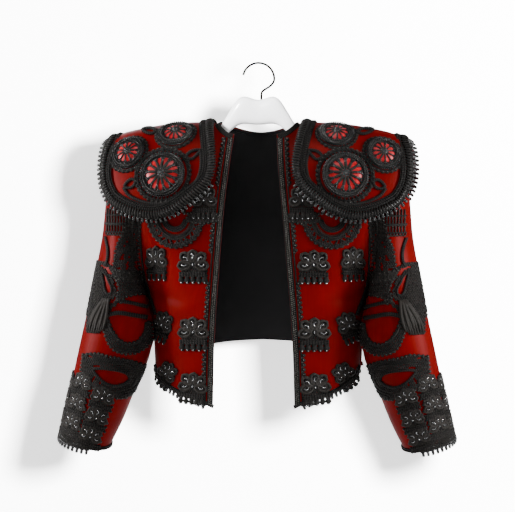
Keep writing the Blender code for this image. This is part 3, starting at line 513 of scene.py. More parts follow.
def pad_point(u, v, inset=0.0):
    """Point of the left epaulette: u from neck to arm, v from -1 behind to 1 in front."""
    u, v = np.broadcast_arrays(np.asarray(u, float), np.asarray(v, float))
    share = np.sin(np.abs(v) * math.pi / 2) ** 1.3
    inner, outer, lower, ridge = (line(edge) for edge in (PAD_INNER, PAD_OUTER, PAD_LOWER,
                                                          PAD_RIDGE))
    place = patch(ridge, lower, inner, outer, u, share)
    x = place[..., 0]
    z = place[..., 1] - inset * (1 - share)
    return np.stack([x, -np.sign(v) * pad_depth(x, z, inset), z], axis=-1)


across_pad = np.linspace(1, 0, 59)[:, None]
over_pad = np.linspace(-1, 1, 101)[None, :]
over_pad = np.sign(over_pad) * np.abs(over_pad) ** 1.25
pad_grid = pad_point(across_pad, over_pad)
pad_inside = pad_point(across_pad, over_pad, PAD_WALL)
for side, outer, inner in (("left", pad_grid, pad_inside),
                           ("right", mirrored(pad_grid), mirrored(pad_inside))):
    piece = shell("epaulette_cloth_" + side, outer, inner, [satin, lining_black])
    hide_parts("epaulette_" + side)
    "jacket_front_" + side


# Hanger: one white moulding with a flat-topped neck and contoured arms under the shoulders.
HANGER_TOP = -0.061
# Sections: x, top z, height, half depth
HANGER = [(0.000, HANGER_TOP, 0.042, 0.011), (0.036, HANGER_TOP, 0.044, 0.012),
          (0.050, -0.082, 0.034, 0.010), (0.064, -0.104, 0.024, 0.007),
          (0.085, -0.1086, 0.022, 0.012), (0.120, -0.1179, 0.022, 0.015),
          (0.160, -0.1280, 0.022, 0.016), (0.184, -0.1341, 0.019, 0.016),
          (0.191, -0.1390, 0.010, 0.012)]
hanger_white = Finish("white_hanger", (0.80, 0.80, 0.81), 0.28, Coat_Weight=0.35, Coat_Roughness=0.12)
haze = hanger_white.noise(hanger_white.place((60, 60, 60)), 1.0, 3.0)
hanger_white.feed("Roughness", haze * 0.12 + 0.22)
hanger_white.relief(haze, 0.00006)
arm = np.array(HANGER)
arm_x = np.concatenate([np.linspace(0, 0.034, 8), np.linspace(0.036, 0.07, 24), np.linspace(0.073, 0.190, 30),
                        [0.1908, 0.191]])
arm_rows = np.column_stack([arm_x, smooth(arm, arm_x)])
arm_rows[-1, 2:] *= 0.55
arm_rows[-1, 1] -= 0.002
sections = np.concatenate([(arm_rows * (-1, 1, 1, 1))[:0:-1], arm_rows])
angle = np.linspace(0, 2 * math.pi, 32, endpoint=False)[:, None]
corner = 0.75      # less than 1 squares the section
shape_y = np.sign(np.sin(angle)) * np.abs(np.sin(angle)) ** corner
shape_z = np.sign(np.cos(angle)) * np.abs(np.cos(angle)) ** corner
hanger_grid = np.stack([np.broadcast_to(sections[:, 0], (32, len(sections))),
                        sections[:, 3] * shape_y,
                        sections[:, 1] - sections[:, 2] / 2 + sections[:, 2] / 2 * shape_z], axis=-1)
faces = grid_faces(32, len(sections), round_u=True)[:, ::-1].tolist()
ends = np.arange(32) * len(sections)
faces += [ends.tolist(), (ends + len(sections) - 1)[::-1].tolist()]
mesh = bpy.data.meshes.new("hanger")
mesh.from_pydata(hanger_grid.reshape(-1, 3).tolist(), [], faces)
mesh.materials.append(hanger_white.material)
hanger = bpy.data.objects.new("hanger", mesh)
bpy.context.scene.collection.objects.link(hanger)
bpy.ops.object.select_all(action="DESELECT")
hanger.select_set(True)
bpy.context.view_layer.objects.active = hanger
bpy.ops.object.mode_set(mode="EDIT")
bpy.ops.mesh.select_all(action="SELECT")
bpy.ops.mesh.normals_make_consistent(inside=False)
bpy.ops.object.mode_set(mode="OBJECT")
bpy.ops.object.shade_smooth_by_angle(angle=math.radians(60))
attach(hanger, "root")
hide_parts("hanger_body")
lit_hanger.objects.link(hanger)

# Hook: one bent wire, black enamel, pushed into the hanger's neck.
WIRE, HOOK_RADIUS, HOOK_MID, STEM_X = 0.00195, 0.02675, -0.025, 0.005
HOOK_RUN = [(STEM_X, HANGER_TOP - 0.004), (STEM_X, -0.0520), (0.0060, -0.0475), (0.0100, -0.0440),
            (0.0185, -0.0385), (0.0240, -0.0330)]
hook_black = Finish("black_wire", (0.003, 0.003, 0.0035), 0.35, Specular_IOR_Level=0.10)
hook_black.relief(hook_black.noise(hook_black.place((300, 300, 300))), 0.00004)
hook_line = [(x, 0.0, z) for x, z in HOOK_RUN]
for degrees in np.linspace(-5, 167, 13):
    turn = math.radians(degrees)
    hook_line.append((HOOK_RADIUS * math.cos(turn), 0.0, HOOK_MID + HOOK_RADIUS * math.sin(turn)))
curve = bpy.data.curves.new("hook", "CURVE")
curve.dimensions = "3D"
curve.bevel_depth = WIRE
curve.bevel_resolution = 4
curve.resolution_u = 8
curve.use_fill_caps = True
spline = curve.splines.new("BEZIER")
spline.bezier_points.add(len(hook_line) - 1)
for point, place in zip(spline.bezier_points, hook_line):
    point.co = place
    point.handle_left_type = point.handle_right_type = "AUTO"
hook = bpy.data.objects.new("hook", curve)
bpy.context.scene.collection.objects.link(hook)
bpy.ops.object.select_all(action="DESELECT")
hook.select_set(True)
bpy.context.view_layer.objects.active = hook
bpy.ops.object.convert(target="MESH")
hook = bpy.context.object
bpy.ops.object.shade_smooth_by_angle(angle=math.radians(50))
hook.data.materials.clear()
hook.data.materials.append(hook_black.material)
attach(hook, "root")
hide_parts("hanger_hook")


# Raised work is drawn flat, along, across and above, then carried along a line or laid on cloth.
class Line:
    """Line that a trimming follows: points, and the direction out of the cloth at each."""

    def __init__(self, points, out=(0, 0, 1), closed=False):
        points = np.asarray(points, float)
        if points.shape[1] == 2:
            points = np.column_stack([points, np.zeros(len(points))])
        out = np.broadcast_to(np.asarray(out, float), points.shape)
        if closed:
            points, out = np.concatenate([points, points[:1]]), np.concatenate([out, out[:1]])
            ahead = np.roll(points[:-1], -1, axis=0) - np.roll(points[:-1], 1, axis=0)
            ahead = np.concatenate([ahead, ahead[:1]])
        else:
            ahead = np.gradient(points, axis=0)
        self.at = np.concatenate([[0], np.cumsum(np.linalg.norm(np.diff(points, axis=0), axis=1))])
        self.length, self.closed = float(self.at[-1]), closed
        self.ahead = ahead / np.linalg.norm(ahead, axis=1)[:, None]
        across = np.cross(out, self.ahead)
        self.across = across / np.linalg.norm(across, axis=1)[:, None]
        self.out = np.cross(self.ahead, self.across)
        self.points = points

    def read(self, table, at):
        return np.column_stack([np.interp(at, self.at, table[:, k]) for k in range(3)])

    def carry(self, places):
        at = places[:, 0] % self.length if self.closed else np.clip(places[:, 0], 0, self.length)
        past = 0 if self.closed else (places[:, 0] - at)[:, None]
        return (self.read(self.points, at) + self.read(self.ahead, at) * past
                + self.read(self.across, at) * places[:, 1:2] + self.read(self.out, at) * places[:, 2:3])


DEPTHS = (0.02, 0.05, 0.08, 0.11, 0.14, 0.17, 0.20, 0.23)


class Cloth:
    """Fine cloth surface for laying things on, with a skirt past its edges."""

    def __init__(self, grid, round_u=False, skirt=0.02, sides=False):
        def further(edge, inner):
            step = edge - inner
            return edge + step / np.linalg.norm(step, axis=-1, keepdims=True) * skirt

        grid = np.concatenate([further(grid[:, :1], grid[:, 3:4]), grid,
                               further(grid[:, -1:], grid[:, -4:-3])], axis=1)
        if sides:
            grid = np.concatenate([further(grid[:1], grid[3:4]), grid,
                                   further(grid[-1:], grid[-4:-3])], axis=0)
        self.points = grid.reshape(-1, 3)
        self.normals = normals_of(grid, round_u).reshape(-1, 3)
        quads = grid_faces(*grid.shape[:2], round_u)
        self.corners = np.concatenate([quads[:, [0, 1, 2]], quads[:, [0, 2, 3]]])
        self.tree = BVHTree.FromPolygons(self.points.tolist(), self.corners.tolist())

    def under(self, starts, way):
        """Places on the cloth straight under the starts, and the directions out of it."""
        spots, which = np.empty((len(starts), 3)), np.empty(len(starts), int)
        way = Vector(way)
        for i, start in enumerate(starts.tolist()):
            hit = self.tree.ray_cast(start, way)
            if hit[0] is None:
                # Past the outline of the cloth: the nearest place on that outline
                near = [self.tree.find_nearest(Vector(start) + way * far) for far in DEPTHS]
                hit = min(near, key=lambda found: (found[0] - Vector(start)).cross(way).length)
            spots[i], which[i] = hit[0], hit[2]
        corners = self.corners[which]
        a, b, c = (self.points[corners[:, k]] for k in range(3))
        one, two, there = b - a, c - a, spots - a
        d11, d12, d22 = (one * one).sum(1), (one * two).sum(1), (two * two).sum(1)
        t1, t2 = (there * one).sum(1), (there * two).sum(1)
        under = np.maximum(d11 * d22 - d12 * d12, 1e-20)
        share_b = np.clip((d22 * t1 - d12 * t2) / under, 0, 1)[:, None]
        share_c = np.clip((d11 * t2 - d12 * t1) / under, 0, 1)[:, None]
        normals = (self.normals[corners[:, 0]] * (1 - share_b - share_c)
                   + self.normals[corners[:, 1]] * share_b + self.normals[corners[:, 2]] * share_c)
        return spots, normals / np.linalg.norm(normals, axis=1)[:, None]

    def seen(self, view="front"):
        """Carrier of places drawn in the front or back view."""
        side = -1 if view == "front" else 1
        return lambda places: self.laid(places, (0, side * 0.2, 0), (-side, 0, 0), (0, 0, 1))

    def around(self, centre, up=(0, 0, 1), high=0.03):
        """Carrier of places drawn about a centre on the cloth, flat on it there."""
        spot = self.tree.find_nearest(centre)
        corners = self.corners[spot[2]]
        normal = self.normals[corners].mean(axis=0)
        normal /= np.linalg.norm(normal)
        across = np.cross(np.asarray(up, float), normal)
        across /= np.linalg.norm(across)
        return lambda places: self.laid(places, np.array(spot[0]) + normal * high, across,
                                        np.cross(normal, across))

    def laid(self, places, origin, across, up):
        across, up = np.asarray(across, float), np.asarray(up, float)
        starts = np.asarray(origin, float) + places[:, :1] * across + places[:, 1:2] * up
        spots, normals = self.under(starts, -np.cross(across, up))
        return spots + normals * places[:, 2:3]


def tube_faces(stations, sides, closed):
    faces = []
    for i in range(stations if closed else stations - 1):
        low, high = i * sides, (i + 1) % stations * sides
        for j in range(sides):
            k = (j + 1) % sides
            faces.append((low + j, low + k, high + k, high + j))
    if not closed:
        faces.append(tuple(range(sides))[::-1])
        faces.append(tuple(range((stations - 1) * sides, stations * sides)))
    return faces


def taken(piece):
    """Points and faces of a modelled unit, which is then removed."""
    points = np.array([vertex.co[:] for vertex in piece.data.vertices])
    faces = [tuple(face.vertices) for face in piece.data.polygons]
    bpy.data.objects.remove(piece)
    return points, faces


bpy.ops.object.select_all(action="DESELECT")
bpy.ops.mesh.primitive_ico_sphere_add(subdivisions=1, radius=1)
BEAD = taken(bpy.context.object)
bpy.ops.mesh.primitive_uv_sphere_add(segments=5, ring_count=3, radius=1)
KNOT = taken(bpy.context.object)


class Trim:
    """Raised work: shapes of several finishes, each with its points along, across and above."""

    def __init__(self):
        self.shapes = []

    def add(self, points, faces, finish, shade=0.5):
        """Painted shade: it runs from 0, painted dark deep between the cords, to 1, painted light on their
        ridges.
        """
        self.shapes.append((np.asarray(points, float), faces, finish,
                            np.broadcast_to(shade, len(points))))

    def tube(self, places, radius, finish, sides=6, closed=False, high=1.0):
        places = np.asarray(places, float)
        ahead = (np.roll(places, -1, axis=0) - np.roll(places, 1, axis=0) if closed
                 else np.gradient(places, axis=0))
        ahead /= np.linalg.norm(ahead, axis=1)[:, None]
        side = np.cross((0, 0, 1.0), ahead)
        side /= np.maximum(np.linalg.norm(side, axis=1)[:, None], 1e-9)
        out = np.cross(ahead, side)
        radius = np.broadcast_to(radius, len(places))[:, None, None]
        angle = 2 * math.pi * np.arange(sides) / sides
        rings = (places[:, None] + side[:, None] * np.cos(angle)[:, None] * radius
                 + out[:, None] * np.sin(angle)[:, None] * radius * high)
        # Painted shade: each ring is painted lighter on its top and darker underneath
        self.add(rings.reshape(-1, 3), tube_faces(len(places), sides, closed), finish,
                 np.tile((1 + np.sin(angle)) / 2, len(places)))

    def units(self, unit, places, sizes, finish, turns=None):
        """Copies of a modelled unit at places, with their sizes and turns in radians."""
        points, faces = unit
        places = np.asarray(places, float)
        sizes = np.broadcast_to(sizes, places.shape)
        copies = points[None] * sizes[:, None]
        if turns is not None:
            turns = np.broadcast_to(turns, len(places))[:, None]
            cos, sin = np.cos(turns), np.sin(turns)
            copies = np.stack([copies[..., 0] * cos - copies[..., 1] * sin,
                               copies[..., 0] * sin + copies[..., 1] * cos, copies[..., 2]], axis=-1)
        copies = copies + places[:, None]
        count = len(points)
        # Painted shade: each copy is painted light on its top and dark on its lower half, times a random tone
        # of its own
        own = 0.55 + 0.45 * np.abs(np.sin(np.arange(len(places)) * 12.9898))[:, None]
        self.add(copies.reshape(-1, 3),
                 [tuple(i + k * count for i in face) for k in range(len(places)) for face in faces], finish,
                 (own * np.clip(points[:, 2], 0, 1)[None]).ravel())

    def beads(self, places, size, finish="bead"):
        size = np.asarray(size, float)
        self.units(BEAD, places, size[..., None] if size.ndim else size, finish)

    def carried(self, *carriers):
        """The same work, its points taken through the carriers one after the other."""
        made = Trim()
        for points, faces, finish, shade in self.shapes:
            for carrier in carriers:
                points = carrier(points)
            made.add(points, faces, finish, shade)
        return made

    def join(self, other):
        self.shapes += other.shapes
        return self


cord_black = Finish("black_cord", (0.008, 0.007, 0.007), 0.5, Specular_IOR_Level=0.22)
strands = cord_black.node("ShaderNodeTexWave", {"bands_direction": "DIAGONAL"},
                          {"Vector": cord_black.place((1100, 1100, 1100)), "Scale": 1.0,
                           "Distortion": 3.0, "Detail": 1.0})
fuzz = cord_black.noise(cord_black.place((420, 420, 420)), 1.0, 2.0)
# The black cord's colour is painted shade and light: near black in the grooves and undersides, lighter on
# ridges and tops, from the painted shade attribute, with a little noise
ridge = cord_black.node("ShaderNodeAttribute", {"attribute_name": "shade"}, out=2)
cord_black.feed("Base Color", cord_black.blend(ridge ** 1.6 * (fuzz + 0.5), (0.0008, 0.0007, 0.0007),
                                               (0.021, 0.017, 0.014)))
cord_black.feed("Roughness", fuzz * 0.2 + 0.72 - ridge * 0.32)
cord_black.relief(strands * 0.6 + fuzz * 0.4, 0.00018)
bead_black = Finish("black_bead", (0.004, 0.004, 0.004), 0.16, Coat_Weight=0.3, Coat_Roughness=0.08)
glint = bead_black.noise(bead_black.place((700, 700, 700)), 1.0, 0.0)
bead_black.feed("Roughness", glint * 0.2 + 0.05)
bead_silver = Finish("silver_bugle", (0.55, 0.56, 0.57), 0.22, Metallic=0.85)
tarnish = bead_silver.noise(bead_silver.place((500, 500, 500)), 1.0, 1.0)
bead_silver.feed("Base Color", bead_silver.blend(tarnish, (0.35, 0.36, 0.37), (0.72, 0.73, 0.74)))
dome_red = Finish("dome_satin", (0.55, 0.010, 0.016), 0.32, Specular_IOR_Level=0.4,
                  Specular_Tint=(1.0, 0.5, 0.5, 1))
# Painted sheen: this noise paints patches of the dome a lighter red as satin highlights over a darker red,
# and also gives its bumps
painted_sheen_and_bump = dome_red.noise(dome_red.place((180, 180, 180)), 1.0, 2.0)
dome_red.feed("Base Color", dome_red.blend(painted_sheen_and_bump.between(0.3, 0.7), (0.36, 0.004, 0.008),
                                           (0.72, 0.022, 0.030)))
dome_red.relief(painted_sheen_and_bump, 0.0002)
bead_glint = Finish("cut_bead", (0.10, 0.095, 0.085), 0.25, Metallic=0.7)
bead_glint.feed("Roughness", bead_glint.noise(bead_glint.place((900, 900, 900))) * 0.3 + 0.12)
FINISHES = {"cord": cord_black, "bead": bead_black, "glint": bead_glint, "silver": bead_silver,
            "dome": dome_red}


def sew_on(name, trim, nodes, both=True):
    """The trimming as a piece on the left and, mirrored, on the right, in the nodes' place."""
    for side in ("left", "right") if both else ("",):
        points = np.concatenate([shape[0] for shape in trim.shapes])
        faces, slots, used, count = [], [], [], 0
        for shape_points, shape_faces, finish, _ in trim.shapes:
            if finish not in used:
                used.append(finish)
            step = -1 if side == "right" else 1
            faces += [tuple(i + count for i in face)[::step] for face in shape_faces]
            slots += [used.index(finish)] * len(shape_faces)
            count += len(shape_points)
        if side == "right":
            points = points * (-1, 1, 1)
        title = name + "_" + side if side else name
        mesh = bpy.data.meshes.new(title)
        mesh.from_pydata(points.tolist(), [], faces)
        for finish in used:
            mesh.materials.append(FINISHES[finish].material)
        mesh.polygons.foreach_set("material_index", slots)
        mesh.polygons.foreach_set("use_smooth", [True] * len(faces))
        # The painted shade of every point, which the black cord's colour reads
        painted_shades = np.concatenate([shape[3] for shape in trim.shapes])
        mesh.attributes.new("shade", "FLOAT", "POINT").data.foreach_set("value", painted_shades)
        piece = bpy.data.objects.new(title, mesh)
        bpy.context.scene.collection.objects.link(piece)
        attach(piece, "root")
        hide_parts(*[node + "_" + side if side else node for node in nodes])


front_cloth = Cloth(front_grid, sides=True)
sleeve_cloth = Cloth(sleeve_grid, round_u=True)
pad_cloth = Cloth(pad_grid, sides=True)


# Front edges: a galloon of four bead rows, a strip of bare satin, then a row of cord picots.
def ribbon(trim, length, low, high, height, finish, closed=False, step=0.005):
    """Low flat band under other work."""
    count = max(int(length / step), 4)
    at = np.linspace(0, length, count, endpoint=not closed)
    section = [(high, 0.0), (high, height * 0.6), ((low + high) / 2, height), (low, height * 0.6),
               (low, 0.0)]
    points = [(a, b, h) for a in at for b, h in section]
    # Painted shade: the band under the work is painted dark all over (0.1)
    trim.add(points, tube_faces(count, len(section), closed), finish, 0.1)


def wrapped(trim, length, middle, width, height, pitch, finish="cord", closed=False, slant=1,
            depth=0.13, per=4, sides=10, lift=0.0):
    """Cord wound with a finer one, whose turns stand out as slanted ribs."""
    turns = max(round(length / pitch), 2)
    at = np.linspace(0, length, turns * per, endpoint=not closed)[:, None]
    angle = 2 * math.pi * np.arange(sides)[None, :] / sides
    swell = 1 + depth * np.cos(2 * math.pi * turns * at / length + slant * angle)
    points = np.stack([at + 0 * angle, middle + width / 2 * np.cos(angle) * swell,
                       lift + height / 2 + height / 2 * np.sin(angle) * swell], axis=-1)
    # Painted shade: the grooves between the turns and the underside are painted dark, the tops of the ribs
    # light
    ridge = (swell - 1 + depth) / (2 * depth) * (1 + np.sin(angle)) / 2
    trim.add(points.reshape(-1, 3), tube_faces(len(at), sides, closed), finish, ridge.ravel() ** 1.3)


def zigzag(trim, length, low, high, pitch, radius, lift, finish="cord", closed=False, phase=0.0):
    """Cord laid to and fro between two edges."""
    turns = max(round(length / pitch), 2)
    t = np.arange(turns * 4 + (0 if closed else 1)) / 4
    b = (low + high) / 2 + (high - low) / 2 * np.sin(2 * math.pi * (t + phase))
    h = lift + radius * 0.6 * np.cos(4 * math.pi * (t + phase))
    trim.tube(np.column_stack([t * length / turns, b, h]), radius, finish, 5, closed)


def bead_row(trim, length, b, h, pitch, size, shift=0.0, closed=False, finish="bead"):
    count = max(int(round(length / pitch)), 2)
    a = (np.arange(count) + 0.5 + shift) * length / count
    if not closed:
        a = a[a < length]
    trim.beads(np.column_stack([a, np.full(len(a), b), np.full(len(a), h)]), size, finish)


def inside(outline, places):
    """Which places lie inside a flat outline."""
    outline, found = np.asarray(outline, float), np.zeros(len(places), bool)
    for a, b in zip(outline, np.roll(outline, -1, axis=0)):
        crosses = (a[1] > places[:, 1]) != (b[1] > places[:, 1])
        rise = b[1] - a[1] if b[1] != a[1] else 1.0
        found ^= crosses & (places[:, 0] < a[0] + (places[:, 1] - a[1]) * (b[0] - a[0]) / rise)
    return found


def oval(x, z, wide, tall, degrees=0.0, count=10):
    """Outline of a slot."""
    angle, turn = 2 * math.pi * np.arange(count) / count, math.radians(degrees)
    a, b = wide * np.cos(angle), tall * np.sin(angle)
    return np.column_stack([x + a * math.cos(turn) - b * math.sin(turn),
                            z + a * math.sin(turn) + b * math.cos(turn)])


def crochet(trim, outline, slots=(), pitch=0.0038, lift=0.0008, edge=0.0):
    """Ground of staggered knots inside an outline, with slots of bare satin left in it."""
    outline = np.asarray(outline, float)
    low, high = outline.min(axis=0), outline.max(axis=0)
    rows = np.arange(low[1], high[1] + pitch, pitch * 0.84)
    places = np.concatenate([np.column_stack([a, np.full(len(a), b)]) for a, b in
                             ((np.arange(low[0] + (i % 2) * pitch / 2, high[0] + pitch, pitch), z)
                              for i, z in enumerate(rows))])
    keep = inside(outline, places)
    for slot in slots:
        keep &= ~inside(slot, places)
    places = places[keep]
    wobble = np.sin(places[:, 0] * 7919.0) * np.cos(places[:, 1] * 6101.0)
    turn = 1.2 * np.sin(places[:, 0] * 4001.0 + places[:, 1] * 5003.0)
    places = np.column_stack([places, lift + 0.0004 * wobble])
    trim.units(KNOT, places, (pitch * 0.76, pitch * 0.58, pitch * 0.50), "cord", turns=turn)
    if edge:
        closed = np.concatenate([outline, outline[:1]])
        run = np.concatenate([[0], np.cumsum(np.linalg.norm(np.diff(closed, axis=0), axis=1))])
        at = np.arange(0, run[-1], edge)
        bumps = np.column_stack([np.interp(at, run, closed[:, 0]), np.interp(at, run, closed[:, 1]),
                                 np.full(len(at), 0.0010)])
        trim.units(BEAD, bumps, (edge * 0.50, edge * 0.50, 0.0019), "cord")
        trim.beads(bumps + (0, 0, 0.0018), 0.0008, "glint")


MOTIFS = [(0.083, -0.234, 0.044, 0.056, 0), (0.1015, -0.342, 0.053, 0.058, 0),
          (0.1015, -0.4565, 0.053, 0.058, 0), (0.1035, -0.549, 0.050, 0.056, 6),
          (0.166, -0.338, 0.039, 0.060, 0), (0.159, -0.446, 0.035, 0.056, 20),
          (0.153, -0.528, 0.034, 0.050, 34)]
edge_line = Line(line(FRONT_EDGE)(np.linspace(0.985, 0.012, 160)))
galloon = Trim()
ribbon(galloon, edge_line.length, 0.0004, 0.0096, 0.0007, "cord")
wrapped(galloon, edge_line.length, 0.0010, 0.0020, 0.0022, 0.0030, depth=0.2, sides=5, per=3)
wrapped(galloon, edge_line.length, 0.0092, 0.0018, 0.0020, 0.0030, depth=0.2, sides=5, per=3)
for row, across in enumerate((0.0034, 0.0066)):
    bead_row(galloon, edge_line.length, across, 0.0016, 0.0034, 0.00135, shift=0.5 * (row % 2),
             finish="glint")
bead_row(galloon, edge_line.length, 0.0050, 0.0013, 0.0034, 0.0010, shift=0.25)
picot = Trim()
wrapped(picot, edge_line.length, 0.0136, 0.0028, 0.0024, 0.0028, depth=0.2, sides=6, per=3)
count = int(edge_line.length / 0.0080)
for i in range(count):
    a = (i + 0.5) * edge_line.length / count
    z = edge_line.carry(np.array([[a, 0.0, 0.0]]))[0, 1]
    if any(abs(z - middle) < high * 0.46 for x, middle, _, high, _ in MOTIFS[:4]):
        continue
    picot.units(BEAD, [(a, 0.0174, 0.0014)], (0.0036, 0.0035, 0.0020), "cord")
    picot.units(BEAD, [(a + 0.0042, 0.0152, 0.0012)], (0.0020, 0.0026, 0.0016), "cord")
    picot.beads([(a - 0.0006, 0.0166, 0.0034), (a + 0.0034, 0.0140, 0.0027)], 0.0011, "glint")
sew_on("front_galloon", galloon.join(picot).carried(edge_line.carry, front_cloth.seen()),
       ["front_braid"])


# Neck: a ribbed black band round the neck edge, from one front corner to the other.
def neck_edge(down):
    rows = [panel_point("front", np.linspace(0.012, NECK_COLUMN * 0.985, 30), 1 - down),
            panel_point("back", np.linspace(NECK_COLUMN * 0.985, 0.0, 34), 1 - down)]
    half = np.concatenate(rows)
    return np.concatenate([half, (half * (-1, 1, 1))[-2::-1]])


neck_points = neck_edge(0.010)
neck_out = neck_points - np.stack([neck_points[:, 0] * 0, neck_points[:, 1] * 0,
                                   np.full(len(neck_points), -0.20)], axis=-1)
neck_line = Line(neck_points, neck_out)
neck = Trim()
ribbon(neck, neck_line.length, -0.0045, 0.0045, 0.0018, "cord")
for across in (-0.0034, -0.0012, 0.0012, 0.0034):
    wrapped(neck, neck_line.length, across, 0.0021, 0.0022, 0.0030, depth=0.12, sides=6, per=3, lift=0.0004)
sew_on("neck_band_cords", neck.carried(neck_line.carry), ["neck_band"], both=False)


# Flower motifs: padded petals edged with thick cord, a bugle bead in each, over a cord bar
# from which five small tassels hang, each ending in a bead.
def tassel(trim, a, b, width, length, rise=0.0020):
    """Short bell of threads hanging from its top at a, b, with a bright bead at its foot."""
    sides = 12
    profile = [(0.0, 0.34), (0.12, 0.40), (0.26, 0.30), (0.45, 0.44), (0.75, 0.46), (0.94, 0.44),
               (1.0, 0.30)]
    angle = 2 * math.pi * np.arange(sides) / sides
    flute = 1 + 0.15 * (-1.0) ** np.arange(sides)
    points = [(a - width * r * f * math.cos(t), b - length * s, rise + width * r * f * 0.5 * math.sin(t))
              for s, r in profile for t, f in zip(angle, flute)]
    trim.add(points, [face[::-1] for face in tube_faces(len(profile), sides, False)], "cord")
    trim.units(BEAD, [(a, b - length - width * 0.10, rise * 0.7)],
               width * np.array((0.40, 0.26, 0.22)), "cord")
    trim.beads([(a, b - length - width * 0.10, rise + width * 0.12)], width * 0.13, "silver")


def flower(trim, half, petals, middle=(0.0, 0.0), silver=True):
    """Petals about a middle; each entry of petals is its direction and its share of half."""
    trim.units(BEAD, [(middle[0], middle[1] + half * 0.10, 0.0)], (half * 0.62, half * 0.52, half * 0.075),
               "cord")
    for degrees, share in petals:
        way = math.radians(degrees)
        reach = half * share
        centre, long, wide = reach * 0.58, reach * 0.40, half * 0.27
        cos, sin = math.cos(way), math.sin(way)

        def spot(along, across, height):
            return np.column_stack([middle[0] + along * cos - across * sin,
                                    middle[1] + along * sin + across * cos,
                                    np.broadcast_to(height, np.shape(along))])
        trim.units(BEAD, spot(np.array([centre]), np.array([0.0]), 0.0004),
                   (long * 1.02, wide * 1.02, half * 0.075), "cord", turns=way)
        t = np.linspace(0, 2 * math.pi, 22, endpoint=False)
        bumps = 1 + 0.22 * np.cos(7 * t) * (np.cos(t) > -0.6)
        trim.tube(spot(centre + long * np.cos(t), wide * np.sin(t), half * 0.066),
                  half * 0.100 * bumps, "cord", 5, True)
        t = t[::2]
        trim.tube(spot(centre - long * 0.08 + long * 0.56 * np.cos(t), wide * 0.56 * np.sin(t),
                       half * 0.105), half * 0.042, "cord", 4, True)
        s = np.linspace(-1, 1, 6)
        bow = 0.42 if math.sin(way) * math.cos(way) >= 0 else -0.42
        trim.tube(spot(centre - long * 0.02 + long * 0.44 * s, wide * bow * (1 - s * s) - wide * bow * 0.6,
                       half * 0.150), half * 0.027 * (1.04 - 0.4 * s ** 4),
                  "silver" if silver else "bead", 4)
    ring = np.linspace(0, 2 * math.pi, 6, endpoint=False)
    trim.beads(np.column_stack([middle[0] + half * 0.13 * np.cos(ring),
                                middle[1] + half * 0.13 * np.sin(ring),
                                np.full(6, half * 0.11)]), half * 0.055)
    trim.units(BEAD, [(middle[0], middle[1] - half * 0.02, half * 0.16)],
               (half * 0.050, half * 0.095, half * 0.06), "silver" if silver else "bead")


FRONT_PETALS = ((88, 0.86), (40, 1.0), (-8, 0.98), (140, 1.0), (188, 0.98))


def motif(width, height, tassels=5):
    """Whole motif about its middle, in its own flat places."""
    made = Trim()
    flower(made, 0.0265, FRONT_PETALS, (0.0, 0.0065))
    for low in (-0.0085, -0.0122):
        wrapped_bar = Trim()
        wrapped(wrapped_bar, 0.047, 0.0, 0.0042, 0.0042, 0.0045, depth=0.22, sides=8)
        made.join(wrapped_bar.carried(lambda p, low=low: p + (-0.0235, low - 0.0010, 0)))
    crochet(made, [(-0.023, -0.013), (0.023, -0.013), (0.023, 0.004), (0.012, 0.020), (-0.012, 0.020),
                   (-0.023, 0.004)], pitch=0.0042, lift=0.0004)
    for i in range(tassels):
        share = (i + 0.5) / tassels - 0.5
        tassel(made, share * 0.0500, -0.0150, 0.0102, 0.0090)
    scale = np.array((width / 0.053, height / 0.058, math.sqrt(width / 0.053)))
    return made.carried(lambda p: p * scale)


def placed(x, z, degrees=0.0):
    """Carrier of flat places to a place in the front view, turned."""
    turn = math.radians(degrees)
    cos, sin = math.cos(turn), math.sin(turn)
    return lambda p: np.column_stack([x + p[:, 0] * cos - p[:, 1] * sin,
                                      z + p[:, 0] * sin + p[:, 1] * cos, p[:, 2]])


for i, (x, z, width, height, turn) in enumerate(MOTIFS):
    work = motif(width, height, 5 if width > 0.04 else 4)
    if i == 5:
        # A plain cord comes down the armhole seam to this one
        seam = Line(line([(0.1915, -0.352), (0.1865, -0.376), (0.1800, -0.396), (0.1740, -0.412),
                          (0.1700, -0.424)])(np.linspace(0, 1, 40)))
        cord = Trim()
        wrapped(cord, seam.length, 0.0, 0.0060, 0.0036, 0.0040, depth=0.08)
        turned = placed(-x, -z)
        work.join(cord.carried(seam.carry, turned, placed(0.0, 0.0, -turn)))
    sew_on("flower_motif_%d" % (i + 1), work.carried(placed(x, z, turn), front_cloth.seen()),
           ["motif_%d" % (i + 1)])


# Crescent under each epaulette: a solid arc, a line of bare satin, then openwork with a
# scalloped edge; three tassel teeth hang into it.
CRESCENT_X, CRESCENT_Z = 0.1325, -0.2585


def arc_line(radius, start, end, count=60, high=1.0):
    turn = np.radians(np.linspace(start, end, count))
    return Line(np.column_stack([CRESCENT_X + radius * np.cos(turn),
                                 CRESCENT_Z + radius * high * np.sin(turn)]))


def openwork(trim, length, width, slot_pitch=0.0085, outside=(True, True), rows=(0.0,)):
    """Guipure: a crochet ground with rows of slots, corded edges and bold scallops."""
    half, slots = width / 2 - 0.0024, []
    for k, b in enumerate(rows):
        count = max(int(length / slot_pitch), 2)
        slots += [oval((i + 0.5 + 0.5 * (k % 2)) * length / count, b, 0.0023, 0.0036, 14 * (-1) ** i)
                  for i in range(count)]
    crochet(trim, [(0, -half), (length, -half), (length, half), (0, half)], slots)
    for side, edged in ((-1, outside[0]), (1, outside[1])):
        wrapped(trim, length, side * (half - 0.0012), 0.0024, 0.0032, 0.0030, depth=0.2, sides=6, per=3)
        if edged:
            count = max(int(length / 0.0068), 2)
            places = np.column_stack([(np.arange(count) + 0.5) * length / count,
                                      np.full(count, side * (half + 0.0012)), np.full(count, 0.0009)])
            trim.units(BEAD, places, (0.0034, 0.0032, 0.0019), "cord")
            trim.beads(places + (0, side * 0.0006, 0.0019), 0.0008, "glint")


